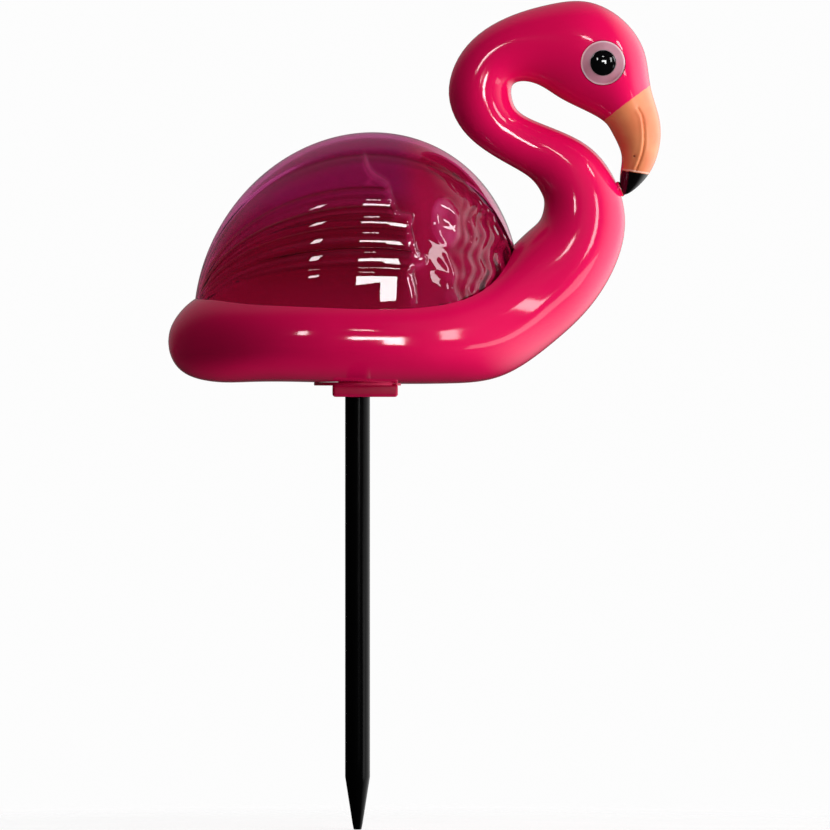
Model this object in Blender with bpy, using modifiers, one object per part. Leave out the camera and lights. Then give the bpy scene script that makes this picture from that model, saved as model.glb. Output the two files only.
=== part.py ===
"""Solar stake light: a moulded flamingo whose back is a see-through dome of folded wings, on a ground stake.

The stake stands on its point at the origin, +Z is up, and the beak points along +X. The bird is mirrored
in the plane y = 0. Its free form is written in percent of its length, from the stake's axis and the belly.
"""

import math

import bmesh
import bpy
import numpy as np
from mathutils import Matrix, Vector
from mathutils.bvhtree import BVHTree

# Driving dimensions, in metres
BIRD_LENGTH = 0.237
HULL_WALL = 0.003
DOME_WALL = 0.0025
LEDGE_THICKNESS = 0.003
LEDGE_REACH = 0.003
LIP_DROP = 0.0006
LIP_CLEAR = 0.003
FEATHER_DEPTH = 0.0009
CREST_STEP = 0.0005
STAKE_DIAMETER = 0.012
STAKE_EXPOSED = 0.2085
STAKE_POINT = 0.0255
STAKE_TIP_DIAMETER = 0.004
STAKE_TOP_BEVEL = 0.0008
SOCKET_GRIP = 0.018
SOCKET_WALL = 0.003
FLANGE_DIAMETER = 0.042
FLANGE_THICKNESS = 0.0016
FLANGE_PROUD = 0.0009
BOSS_LENGTH = 0.0315
BOSS_WIDTH = 0.026
BOSS_DROP = 0.0055
BOSS_AHEAD = 0.0037
BOSS_ROUNDING = 0.0015
EYE_DIAMETER = 0.0212
EYE_SINK = 0.0036
EYE_CROWN = 0.0018
EYE_EDGE = 0.0006
PUPIL_DIAMETER = 0.0122
PUPIL_SINK = 0.0012
PUPIL_CROWN = 0.0015
MOUTH_LINE_WIDTH = 0.0011

# Clearances, in metres
FIT_GAP = 0.0003
STAKE_GAP = 0.0003
OVERSHOOT = 0.002
WELD_DISTANCE = 0.00001

# How finely the round pieces are divided
AROUND_BODY = 24
RING_STEP = 0.0106
ALONG_DOME = 21
FOOT_COLUMNS = 3
FEATHER_COLUMNS = 3
CREST_COLUMNS = 2
INSIDE_COLUMNS = 12
AROUND_TURNED = 28
AROUND_EYE = 20
CROWN_RINGS = 4
WEB_SEGMENTS = 10
WEB_RINGS = 6
MOUTH_POINTS = 9
RIM_STEPS = 20
SHARP_ANGLE = math.radians(35.0)

# Places of the stake's top, the belly and the flange, from the stake's point upwards
BOSS_FLOOR_Z = STAKE_EXPOSED
FLANGE_FLOOR_Z = BOSS_FLOOR_Z + BOSS_DROP
BELLY_Z = FLANGE_FLOOR_Z + FLANGE_PROUD
FLANGE_TOP_Z = FLANGE_FLOOR_Z + FLANGE_THICKNESS
STAKE_TOP_Z = BOSS_FLOOR_Z + SOCKET_GRIP
BORE_DIAMETER = STAKE_DIAMETER + 2 * STAKE_GAP
BORE_ROOF_Z = STAKE_TOP_Z + STAKE_GAP
TOWER_DIAMETER = BORE_DIAMETER + 2 * SOCKET_WALL
TOWER_TOP_Z = BORE_ROOF_Z + SOCKET_WALL

# The ribs of the moulding from the tail to the beak's tip, in percent of the bird's length:
# the rib's top (inner edge of the neck, crown of the head), its bottom (breast, throat), half its width,
# and how far down the rib its widest place lies, as a share of its height
RIBS = (
    ("tail end", (-38.5, 8.6), (-38.5, 8.6), 0.0, 0.62),
    ("tail face", (-38.2, 10.9), (-38.2, 6.2), 4.5, 0.62),
    ("tail corner", (-36.1, 14.6), (-35.9, 2.6), 10.2, 0.62),
    ("stern", (-31.6, 18.1), (-30.4, 0.5), 15.4, 0.62),
    ("after hull", (-21.8, 20.0), (-21.8, 0.3), 21.3, 0.62),
    ("middle hull", (0.5, 20.4), (0.5, 0.0), 25.8, 0.62),
    ("fore hull", (16.8, 20.8), (18.8, 0.0), 22.8, 0.62),
    ("breast foot", (26.1, 23.5), (30.0, 1.8), 17.9, 0.62),
    ("breast", (31.4, 27.9), (40.0, 8.5), 13.6, 0.60),
    ("neck root", (35.1, 31.4), (48.7, 17.4), 11.0, 0.56),
    ("lower neck", (37.3, 33.8), (53.9, 28.4), 9.1, 0.52),
    ("neck front", (37.9, 36.3), (54.0, 36.9), 7.9, 0.50),
    ("neck bend", (37.3, 38.9), (48.7, 46.8), 6.7, 0.50),
    ("slant", (35.3, 41.6), (42.4, 50.9), 5.8, 0.50),
    ("slant end", (26.1, 47.3), (32.6, 55.6), 5.5, 0.50),
    ("hook foot", (21.4, 51.5), (31.5, 57.8), 5.9, 0.50),
    ("hook back", (18.5, 58.8), (31.3, 59.5), 6.2, 0.50),
    ("hook shoulder", (20.4, 66.2), (31.6, 60.7), 6.1, 0.50),
    ("nape", (39.1, 77.2), (37.3, 60.5), 7.5, 0.50),
    ("crown", (47.3, 77.6), (40.8, 58.3), 8.5, 0.50),
    ("forehead", (58.4, 67.4), (47.7, 54.8), 8.9, 0.50),
    ("beak root", (59.7, 60.1), (50.5, 52.9), 7.7, 0.50),
    ("beak bulge", (61.4, 54.0), (51.9, 50.7), 6.3, 0.50),
    ("beak middle", (61.2, 47.1), (53.6, 46.6), 5.0, 0.50),
    ("beak end", (57.5, 40.5), (53.3, 41.4), 2.4, 0.50),
    ("beak tip", (54.1, 38.4), (54.1, 38.4), 0.0, 0.50),
)
HULL_WAIST = 0.62
HULL_SQUARENESS = 2.3
ROUND = 2.0
CAVITY_LAST_RIB = "breast"

# The dome is an ellipsoid leaning forward, in percent of the bird's length
DOME_CENTRE = (-0.2, 15.7)
DOME_LONG = 36.3
DOME_SHORT = 32.2
DOME_HALF_WIDTH = 22.0
DOME_LEAN = math.radians(28.0)
LEDGE_HEIGHT = 13.2

# The folded wing: angles rise from the ledge to the back, lengths are shares from the tail to the breast.
# A smooth crest band runs over the back, and the sides below its edge lie a little deeper
WING_FOOT = math.radians(15.0)
WING_TOP = math.radians(73.0)
CREST_EDGE = math.radians(1.5)
WING_FEATHERS = 7
WING_TAPER = 0.88
WING_FRONT_AT_FOOT = 0.70
WING_FRONT_AT_TOP = 0.54
WING_TAIL = 0.07
WING_SOFTNESS = 0.02

# Face: centre of the eye, mouth line and the web that joins the beak's tip to the neck, in percent
EYE_CENTRE = (49.8, 65.0)
MOUTH_LINE = ((57.0, 55.8), (58.1, 52.5), (58.2, 49.3), (57.6, 46.0), (56.6, 43.6))
TIP_WEB = (53.35, 39.9)
TIP_WEB_SIZE = 1.8

MATERIALS = {
    "pink_gloss_plastic": ((0.84, 0.02, 0.14), 0.12, 0.0, 1.0),
    "dome_magenta": ((0.45, 0.03, 0.20), 0.05, 0.0, 0.5),
    "socket_pink": ((0.70, 0.03, 0.14), 0.35, 0.0, 1.0),
    "stake_black": ((0.012, 0.012, 0.012), 0.4, 0.0, 1.0),
    "eye_white": ((0.80, 0.55, 0.62), 0.3, 0.0, 1.0),
    "pupil_black": ((0.004, 0.004, 0.004), 0.06, 0.0, 1.0),
}


def clear_scene():
    for obj in list(bpy.data.objects):
        bpy.data.objects.remove(obj, do_unlink=True)


def new_collection(name):
    collection = bpy.data.collections.new(name)
    bpy.context.scene.collection.children.link(collection)
    return collection


def material(name):
    colour, roughness, metallic, alpha = MATERIALS[name]
    made = bpy.data.materials.new(name)
    made.use_nodes = True
    shader = made.node_tree.nodes["Principled BSDF"]
    shader.inputs["Base Color"].default_value = (*colour, 1.0)
    shader.inputs["Roughness"].default_value = roughness
    shader.inputs["Metallic"].default_value = metallic
    shader.inputs["Alpha"].default_value = alpha
    return made


def add_object(name, mesh, collection):
    obj = bpy.data.objects.new(name, mesh)
    collection.objects.link(obj)
    return obj


def add_piece(name, mesh, finish):
    mesh.materials.append(finish)
    mesh.shade_smooth()
    mesh.set_sharp_from_angle(angle=SHARP_ANGLE)
    return add_object(name, mesh, PARTS)


def add_cutter(name, mesh):
    cutter = add_object(name, mesh, CUTTERS)
    cutter.hide_render = True
    cutter.display_type = "WIRE"
    return cutter


def boolean(target, tool, operation="DIFFERENCE"):
    modifier = target.modifiers.new(tool.name, "BOOLEAN")
    modifier.operation = operation
    modifier.solver = "EXACT"
    modifier.object = tool


def mesh_from_bmesh(name, bm):
    bmesh.ops.recalc_face_normals(bm, faces=bm.faces)
    mesh = bpy.data.meshes.new(name)
    bm.to_mesh(mesh)
    bm.free()
    return mesh


def on_bird(place, y=0.0):
    """A place given in percent of the bird's length, as a point in metres."""
    share = BIRD_LENGTH / 100
    return Vector((place[0] * share, y, BELLY_Z + place[1] * share))


# Helpers for smooth forms


def smooth_through(knots, values, at):
    """Natural cubic spline through the values at the knots, read at the given places."""
    steps = np.diff(knots)
    count = len(knots)
    matrix = np.eye(count)
    right = np.zeros_like(values)
    for i in range(1, count - 1):
        matrix[i, i - 1 : i + 2] = steps[i - 1], 2 * (steps[i - 1] + steps[i]), steps[i]
        slopes = (values[i + 1] - values[i]) / steps[i] - (values[i] - values[i - 1]) / steps[i - 1]
        right[i] = 6 * slopes
    bends = np.linalg.solve(matrix, right)
    span = np.clip(np.searchsorted(knots, at, side="right") - 1, 0, count - 2)
    width = steps[span][:, None]
    before = (knots[span + 1] - at)[:, None] / width
    after = 1 - before
    straight = before * values[span] + after * values[span + 1]
    bend = (before**3 - before) * bends[span] + (after**3 - after) * bends[span + 1]
    return straight + bend * width**2 / 6


def power(value, exponent):
    return math.copysign(abs(value) ** exponent, value)


def smoothstep(low, high, value):
    share = min(max((value - low) / (high - low), 0.0), 1.0)
    return share * share * (3 - 2 * share)


def bridge_rings(bm, lower, upper):
    for i in range(len(lower)):
        after = (i + 1) % len(lower)
        bm.faces.new((lower[i], lower[after], upper[after], upper[i]))


# The moulding


def rib_values():
    """Ribs in metres: top x and z, bottom x and z, half width, waist."""
    rows = []
    for _, top, bottom, half_width, waist in RIBS:
        top, bottom = on_bird(top), on_bird(bottom)
        rows.append((top.x, top.z, bottom.x, bottom.z, half_width * BIRD_LENGTH / 100, waist))
    return np.array(rows)


def mirrored_rib(row):
    """The rib's continuation past a closed end, which makes the end round."""
    return np.array((row[2], row[3], row[0], row[1], -row[4], row[5]))


def stations(last_rib):
    """The ribs read from one smooth run through them all, as far as the named rib."""
    rows = rib_values()
    rows = np.vstack([mirrored_rib(rows[1]), rows, mirrored_rib(rows[-2])])
    moves = np.diff(rows, axis=0)
    lengths = (np.hypot(moves[:, 0], moves[:, 1]) + np.hypot(moves[:, 2], moves[:, 3])) / 2
    knots = np.concatenate([[0.0], np.cumsum(lengths)])
    names = [rib[0] for rib in RIBS]
    last = names.index(last_rib) + 1
    places = []
    for i in range(1, last):
        pieces = math.ceil(lengths[i] / RING_STEP)
        places.extend(knots[i] + (knots[i + 1] - knots[i]) * k / pieces for k in range(pieces))
    places.append(knots[last])
    return smooth_through(knots, rows, np.array(places))


def rib_point(row, angle):
    """A point on one rib, at an angle from its +Y side over its top."""
    top = Vector((row[0], 0.0, row[1]))
    bottom = Vector((row[2], 0.0, row[3]))
    middle = top.lerp(bottom, row[5])
    hull_share = (row[5] - 0.5) / (HULL_WAIST - 0.5)
    exponent = 2 / (ROUND + (HULL_SQUARENESS - ROUND) * hull_share)
    height = power(math.sin(angle), exponent)
    arm = (top - middle) if height > 0 else (middle - bottom)
    point = middle + arm * height
    point.y = row[4] * power(math.cos(angle), exponent)
    return point


def rib_ring(row):
    return [rib_point(row, 2 * math.pi * i / AROUND_BODY) for i in range(AROUND_BODY)]


def moulding_mesh(name, last_rib):
    """Loft through the ribs, closed by a point where a rib has no size and by a flat cap elsewhere."""
    rows = stations(last_rib)
    bm = bmesh.new()
    open_end = rows[-1][4] > WELD_DISTANCE
    inner = rows[1:] if open_end else rows[1:-1]
    rings = [[bm.verts.new(point) for point in rib_ring(row)] for row in inner]
    for lower, upper in zip(rings, rings[1:]):
        bridge_rings(bm, lower, upper)
    close_with_point(bm, rings[0], Vector((rows[0][0], 0.0, rows[0][1])))
    if open_end:
        bm.faces.new(rings[-1])
    else:
        close_with_point(bm, rings[-1], Vector((rows[-1][0], 0.0, rows[-1][1])))
    return mesh_from_bmesh(name, bm)


def close_with_point(bm, ring, point):
    tip = bm.verts.new(point)
    for i in range(len(ring)):
        bm.faces.new((ring[i], ring[(i + 1) % len(ring)], tip))


def side_of(tree, place):
    """The y at which a line across the bird at this place leaves the +Y side of the moulding."""
    start = on_bird(place, BIRD_LENGTH)
    hit = tree.ray_cast(start, Vector((0.0, -1.0, 0.0)))[0]
    return hit.y


# The dome


def ledge_z():
    return BELLY_Z + LEDGE_HEIGHT * BIRD_LENGTH / 100


class Dome:
    """An ellipsoid leaning forward and cut off by a level plane, measured from the middle of its foot."""

    def __init__(self, offset, floor_z):
        share = BIRD_LENGTH / 100
        long = DOME_LONG * share + offset
        short = DOME_SHORT * share + offset
        self.half_width = DOME_HALF_WIDTH * share + offset
        # The leaning ellipse is xx * x² + xz * x * z + zz * z² = 1 about its own centre
        lean_x, lean_z = math.sin(DOME_LEAN), math.cos(DOME_LEAN)
        self.xx = (lean_x / long) ** 2 + (lean_z / short) ** 2
        self.zz = (lean_z / long) ** 2 + (lean_x / short) ** 2
        self.xz = 2 * lean_x * lean_z * (1 / long**2 - 1 / short**2)
        centre = on_bird(DOME_CENTRE)
        self.low = floor_z - centre.z
        self.middle = -self.xz * self.low / (2 * self.xx)
        self.foot = Vector((centre.x + self.middle, 0.0, floor_z))
        self.half_length = math.sqrt(-self.foot_value() / self.xx)

    def holds(self, point):
        """Whether a point lies inside the ellipsoid."""
        x = point.x - self.foot.x + self.middle
        z = point.z - self.foot.z + self.low
        return self.xx * x**2 + self.xz * x * z + self.zz * z**2 + (point.y / self.half_width) ** 2 < 1

    def foot_value(self):
        return self.xx * self.middle**2 + self.xz * self.middle * self.low + self.zz * self.low**2 - 1

    def point(self, turn, angle, carved=False):
        """The skin, turned from the tail (0) to the breast (pi), at an angle up from the foot on the +Y side."""
        ray = Vector((-math.cos(turn), math.sin(turn) * math.cos(angle), math.sin(turn) * math.sin(angle)))
        a = self.xx * ray.x**2 + self.xz * ray.x * ray.z + self.zz * ray.z**2 + (ray.y / self.half_width) ** 2
        b = 2 * self.xx * self.middle * ray.x + 2 * self.zz * self.low * ray.z
        b += self.xz * (self.middle * ray.z + self.low * ray.x)
        reach = (-b + math.sqrt(b * b - 4 * a * self.foot_value())) / (2 * a)
        if carved:
            reach -= dome_relief((1 + reach * ray.x / self.half_length) / 2, angle)
        return self.foot + ray * reach


def feather_count(angle):
    """How many feathers lie below a place on the wing: whole numbers are the grooves between feathers."""
    share = (angle - WING_FOOT) / (WING_TOP - WING_FOOT)
    return math.log(1 - share * (1 - WING_TAPER**WING_FEATHERS)) / math.log(WING_TAPER)


def feather_angle(count):
    """The angle at which that many feathers lie below."""
    share = (1 - WING_TAPER**count) / (1 - WING_TAPER**WING_FEATHERS)
    return WING_FOOT + (WING_TOP - WING_FOOT) * share


def dome_relief(along, angle):
    """Depth of the skin under the plain dome: the step under the crest band, and the wing's rounded feathers."""
    angle = min(angle, math.pi - angle)
    behind = smoothstep(0.0, WING_TAIL, along)
    depth = CREST_STEP * behind * smoothstep(WING_TOP + CREST_EDGE, WING_TOP, angle)
    if not WING_FOOT <= angle <= WING_TOP:
        return depth
    across = feather_count(angle) % 1.0
    front = WING_FRONT_AT_FOOT
    front += (WING_FRONT_AT_TOP - WING_FRONT_AT_FOOT) * (angle - WING_FOOT) / (WING_TOP - WING_FOOT)
    front += WING_SOFTNESS * math.sin(math.pi * across)
    ahead = smoothstep(front + WING_SOFTNESS, front - WING_SOFTNESS, along)
    return depth + FEATHER_DEPTH * (2 * across - 1) ** 2 * ahead * behind


def dome_angles():
    """Angles of the dome's columns from one foot over the back to the other, one in each groove of the wing."""
    half = [WING_FOOT * i / FOOT_COLUMNS for i in range(FOOT_COLUMNS)]
    half += [feather_angle(i / FEATHER_COLUMNS) for i in range(WING_FEATHERS * FEATHER_COLUMNS + 1)]
    crest = WING_TOP + CREST_EDGE
    half += [crest + (math.pi / 2 - crest) * i / CREST_COLUMNS for i in range(CREST_COLUMNS)]
    return [*half, math.pi / 2, *(math.pi - angle for angle in reversed(half))]


def dome_rows(bm, dome, angles, carved=False):
    """A grid over the dome, one row of points for each angle between shared end points, and its foot's edge."""
    turns = [math.pi * i / ALONG_DOME for i in range(1, ALONG_DOME)]
    rows = [[bm.verts.new(dome.point(turn, angle, carved)) for turn in turns] for angle in angles]
    tail = bm.verts.new(dome.point(0.0, 0.0))
    breast = bm.verts.new(dome.point(math.pi, 0.0))
    for row, after in zip(rows, rows[1:]):
        bm.faces.new((tail, row[0], after[0]))
        bm.faces.new((breast, after[-1], row[-1]))
        for i in range(len(row) - 1):
            bm.faces.new((row[i], row[i + 1], after[i + 1], after[i]))
    return [tail, *rows[0], breast, *reversed(rows[-1])]


def dome_shell_mesh():
    bm = bmesh.new()
    foot_z = ledge_z() + FIT_GAP
    outer = dome_rows(bm, Dome(0.0, foot_z), dome_angles(), carved=True)
    inner_angles = [math.pi * i / INSIDE_COLUMNS for i in range(INSIDE_COLUMNS + 1)]
    inner = dome_rows(bm, Dome(-DOME_WALL, foot_z), inner_angles)
    bridge_rings(bm, outer, inner)
    return mesh_from_bmesh("dome", bm)


def dome_seat_mesh():
    bm = bmesh.new()
    bm.faces.new(dome_rows(bm, Dome(FIT_GAP, ledge_z()), dome_angles()))
    return mesh_from_bmesh("dome_seat", bm)


def rim_line():
    """Where the hull's skin meets the dome, from tail to breast: one point of the +Y side for each rib."""
    dome = Dome(FIT_GAP, ledge_z())
    line = []
    for row in stations("neck front"):
        low, high = 0.0, math.pi / 2
        if not dome.holds(rib_point(row, high)):
            continue
        for _ in range(RIM_STEPS):
            middle = (low + high) / 2
            low, high = (low, middle) if dome.holds(rib_point(row, middle)) else (middle, high)
        line.append(rib_point(row, high))
    return line


def rim_trim_mesh():
    """A band across the bird along the rim line, which cuts the hull's thin edge off to a blunt lip."""
    line = rim_line()
    below = [point + Vector((LIP_DROP, 0.0, -LIP_DROP)) for point in line]
    above = [point + Vector((-LIP_DROP, 0.0, LIP_CLEAR)) for point in line]
    below[0].x -= LIP_CLEAR
    above[0].x -= LIP_CLEAR
    bm = bmesh.new()
    sides = []
    for y in (-BIRD_LENGTH / 2, BIRD_LENGTH / 2):
        low = [bm.verts.new((point.x, y, point.z)) for point in below]
        high = [bm.verts.new((point.x, y, point.z)) for point in above]
        sides.append([*low, *reversed(high)])
        for i in range(len(low) - 1):
            bm.faces.new((low[i], low[i + 1], high[i + 1], high[i]))
    bridge_rings(bm, *sides)
    return mesh_from_bmesh("rim_trim", bm)


# Plain solids


def turned_mesh(name, profile, around):
    """A profile of (radius, height) points, outer side from top to bottom, turned about Z."""
    bm = bmesh.new()
    verts = [bm.verts.new((radius, 0.0, height)) for radius, height in profile]
    for upper, lower in zip(verts, verts[1:]):
        bm.edges.new((upper, lower))
    line = bpy.data.meshes.new(name + "_profile")
    bm.to_mesh(line)
    bm.free()
    spun = add_object(name + "_profile", line, CUTTERS)
    screw = spun.modifiers.new("turn", "SCREW")
    screw.angle = 2 * math.pi
    screw.steps = around
    screw.render_steps = around
    screw.use_merge_vertices = True
    screw.merge_threshold = WELD_DISTANCE
    graph = bpy.context.evaluated_depsgraph_get()
    mesh = bpy.data.meshes.new_from_object(spun.evaluated_get(graph))
    mesh.name = name
    bpy.data.objects.remove(spun, do_unlink=True)
    return mesh


def cylinder_mesh(name, diameter, low_z, high_z):
    bm = bmesh.new()
    place = Matrix.Translation((0.0, 0.0, (low_z + high_z) / 2))
    bmesh.ops.create_cone(
        bm, cap_ends=True, segments=AROUND_TURNED, radius1=diameter / 2, radius2=diameter / 2,
        depth=high_z - low_z, matrix=place,
    )
    return mesh_from_bmesh(name, bm)


def box_mesh(name, low, high):
    bm = bmesh.new()
    low, high = Vector(low), Vector(high)
    place = Matrix.Translation((low + high) / 2) @ Matrix.Diagonal((*(high - low), 1.0))
    bmesh.ops.create_cube(bm, size=1.0, matrix=place)
    return mesh_from_bmesh(name, bm)


def crown(radius, rim_height, crown_height):
    """A low domed face, from its middle to its rim."""
    shares = [i / CROWN_RINGS for i in range(CROWN_RINGS + 1)]
    return [(radius * share, rim_height + crown_height * (1 - share**2)) for share in shares]


# Sub-parts


def make_body(finish):
    body = add_piece("body", moulding_mesh("body", "beak tip"), finish)
    graph = bpy.context.evaluated_depsgraph_get()
    tree = BVHTree.FromObject(body, graph)
    add_tip_web(body)
    boolean(body, add_cutter("dome_seat", dome_seat_mesh()))
    boolean(body, add_cutter("rim_trim", rim_trim_mesh()))
    boolean(body, hull_cavity())
    boolean(body, ledge_opening())
    recess_top = FLANGE_TOP_Z + FIT_GAP
    recess = cylinder_mesh("flange_recess", FLANGE_DIAMETER + 2 * FIT_GAP, BELLY_Z - OVERSHOOT, recess_top)
    boolean(body, add_cutter("flange_recess", recess))
    hole_top = BELLY_Z + HULL_WALL + OVERSHOOT
    hole = cylinder_mesh("tower_hole", TOWER_DIAMETER + 2 * FIT_GAP, BELLY_Z - OVERSHOOT, hole_top)
    boolean(body, add_cutter("tower_hole", hole))
    for name, side in (("left", 1), ("right", -1)):
        boolean(body, eye_socket(name, side, tree))
        boolean(body, mouth_groove(name, side, tree))
    return tree


def add_tip_web(body):
    """The small web of plastic that joins the beak's tip to the neck."""
    bm = bmesh.new()
    place = Matrix.Translation(on_bird(TIP_WEB))
    radius = TIP_WEB_SIZE / 2 * BIRD_LENGTH / 100
    bmesh.ops.create_uvsphere(bm, u_segments=WEB_SEGMENTS, v_segments=WEB_RINGS, radius=radius, matrix=place)
    web = add_cutter("tip_web", mesh_from_bmesh("tip_web", bm))
    boolean(body, web, "UNION")


def hull_cavity():
    """The hollow of the hull: its outside set in by the wall and cut off under the ledge."""
    cavity = add_cutter("hull_cavity", moulding_mesh("hull_cavity", CAVITY_LAST_RIB))
    inset = cavity.modifiers.new("wall", "DISPLACE")
    inset.strength = -HULL_WALL
    inset.mid_level = 0.0
    top = ledge_z() - LEDGE_THICKNESS
    reach = BIRD_LENGTH
    lid = add_cutter("above_cavity", box_mesh("above_cavity", (-reach, -reach, top), (reach, reach, top + reach)))
    boolean(cavity, lid)
    return cavity


def ledge_opening():
    """The opening inside the ledge, which follows the dome's foot."""
    foot = Dome(-DOME_WALL - LEDGE_REACH, ledge_z())
    bm = bmesh.new()
    rings = []
    for z in (ledge_z() - LEDGE_THICKNESS - OVERSHOOT, ledge_z() + OVERSHOOT):
        turns = [2 * math.pi * i / (2 * ALONG_DOME) for i in range(2 * ALONG_DOME)]
        points = [foot.point(turn, 0.0) for turn in turns]
        rings.append([bm.verts.new((point.x, point.y, z)) for point in points])
    bridge_rings(bm, *rings)
    for ring in rings:
        bm.faces.new(ring)
    return add_cutter("ledge_opening", mesh_from_bmesh("ledge_opening", bm))


def eye_floor(tree):
    return side_of(tree, EYE_CENTRE) - EYE_SINK


def facing_side(place, y, side):
    """Turns a piece made along +Z so that it faces out of the head's side."""
    turn = Matrix.Rotation(math.radians(-90 * side), 4, "X")
    return Matrix.Translation(on_bird(place, y * side)) @ turn


def eye_socket(name, side, tree):
    mesh = cylinder_mesh("eye_socket_" + name, EYE_DIAMETER + 2 * FIT_GAP, 0.0, EYE_SINK + OVERSHOOT)
    mesh.transform(facing_side(EYE_CENTRE, eye_floor(tree), side))
    return add_cutter("eye_socket_" + name, mesh)


def mouth_groove(name, side, tree):
    """The line between the two halves of the beak: a fine tube along its side, half sunk."""
    curve = bpy.data.curves.new("mouth_" + name, "CURVE")
    curve.dimensions = "3D"
    curve.bevel_depth = MOUTH_LINE_WIDTH / 2
    curve.bevel_resolution = 1
    curve.use_fill_caps = True
    knots = np.linspace(0.0, 1.0, len(MOUTH_LINE))
    line = smooth_through(knots, np.array(MOUTH_LINE), np.linspace(0.0, 1.0, MOUTH_POINTS))
    points = [on_bird(place, side * side_of(tree, place)) for place in line]
    spline = curve.splines.new("POLY")
    spline.points.add(len(points) - 1)
    for target, point in zip(spline.points, points):
        target.co = (*point, 1.0)
    tube = add_object("mouth_tube_" + name, curve, CUTTERS)
    graph = bpy.context.evaluated_depsgraph_get()
    mesh = bpy.data.meshes.new_from_object(tube.evaluated_get(graph))
    bm = bmesh.new()
    bm.from_mesh(mesh)
    bmesh.ops.remove_doubles(bm, verts=bm.verts, dist=WELD_DISTANCE)
    bpy.data.objects.remove(tube, do_unlink=True)
    return add_cutter("mouth_groove_" + name, mesh_from_bmesh("mouth_groove_" + name, bm))


def make_dome(finish):
    add_piece("dome", dome_shell_mesh(), finish)


def make_socket(finish):
    """Flange against the belly, boss below it and, inside the hull, the tower that grips the stake."""
    socket = add_piece("socket", cylinder_mesh("socket", FLANGE_DIAMETER, FLANGE_FLOOR_Z, FLANGE_TOP_Z), finish)
    tower_floor = (FLANGE_FLOOR_Z + FLANGE_TOP_Z) / 2
    tower = add_cutter("tower", cylinder_mesh("tower", TOWER_DIAMETER, tower_floor, TOWER_TOP_Z))
    boolean(socket, tower, "UNION")
    half = Vector((BOSS_LENGTH / 2, BOSS_WIDTH / 2, 0.0))
    centre = Vector((BOSS_AHEAD, 0.0, 0.0))
    low = centre - half + Vector((0.0, 0.0, BOSS_FLOOR_Z))
    high = centre + half + Vector((0.0, 0.0, tower_floor))
    boss = add_cutter("boss", box_mesh("boss", low, high))
    rounding = boss.modifiers.new("rounding", "BEVEL")
    rounding.width = BOSS_ROUNDING
    rounding.segments = 2
    boolean(socket, boss, "UNION")
    bore = cylinder_mesh("stake_bore", BORE_DIAMETER, BOSS_FLOOR_Z - OVERSHOOT, BORE_ROOF_Z)
    boolean(socket, add_cutter("stake_bore", bore))


def make_stake(finish):
    radius = STAKE_DIAMETER / 2
    profile = (
        (0.0, STAKE_TOP_Z),
        (radius - STAKE_TOP_BEVEL, STAKE_TOP_Z),
        (radius, STAKE_TOP_Z - STAKE_TOP_BEVEL),
        (radius, STAKE_POINT),
        (STAKE_TIP_DIAMETER / 2, 0.0),
        (0.0, 0.0),
    )
    add_piece("stake", turned_mesh("stake", profile, AROUND_TURNED), finish)


def make_eyes(white, black, tree):
    """Each eye is a pale button let into the head, with a raised black pupil let into it."""
    rim = EYE_SINK - EYE_CROWN
    radius = EYE_DIAMETER / 2
    seat_radius = PUPIL_DIAMETER / 2 + FIT_GAP
    seat_z = rim + EYE_CROWN - PUPIL_SINK
    face = [point for point in crown(radius - EYE_EDGE, rim, EYE_CROWN) if point[0] > seat_radius]
    lip_z = rim + EYE_CROWN * (1 - (seat_radius / (radius - EYE_EDGE)) ** 2)
    button = [(0.0, seat_z), (seat_radius, seat_z), (seat_radius, lip_z), *face]
    button += [(radius, rim - EYE_EDGE), (radius, FIT_GAP), (0.0, FIT_GAP)]
    pupil_rim = rim + EYE_CROWN
    pupil = crown(PUPIL_DIAMETER / 2, pupil_rim, PUPIL_CROWN)
    pupil += [(PUPIL_DIAMETER / 2, seat_z + FIT_GAP), (0.0, seat_z + FIT_GAP)]
    for name, side in (("left", 1), ("right", -1)):
        place = facing_side(EYE_CENTRE, eye_floor(tree), side)
        for piece, profile, finish in (("eye_white_", button, white), ("pupil_", pupil, black)):
            mesh = turned_mesh(piece + name, profile, AROUND_EYE)
            mesh.transform(place)
            add_piece(piece + name, mesh, finish)


clear_scene()
PARTS = new_collection("solar_stake_light")
CUTTERS = new_collection("cutters")

head = make_body(material("pink_gloss_plastic"))
make_dome(material("dome_magenta"))
make_socket(material("socket_pink"))
make_stake(material("stake_black"))
make_eyes(material("eye_white"), material("pupil_black"), head)
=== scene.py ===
# %% [markdown]
# # A flamingo stake light for the garden
# The real object is a hollow pink bird moulded in glossy plastic. A see-through magenta dome is let into its
# back, moulded as a pair of folded wings. The bird sits on a boss, and a black rod with a pointed end pushes
# into that boss. This notebook dresses the solid model with fine meshes and finishes.
# The solid model is loaded first and nothing of it is moved: it says where everything is.

import math

import bmesh
import bpy
import numpy as np
from mathutils import Matrix, Vector
from mathutils.bvhtree import BVHTree


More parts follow.
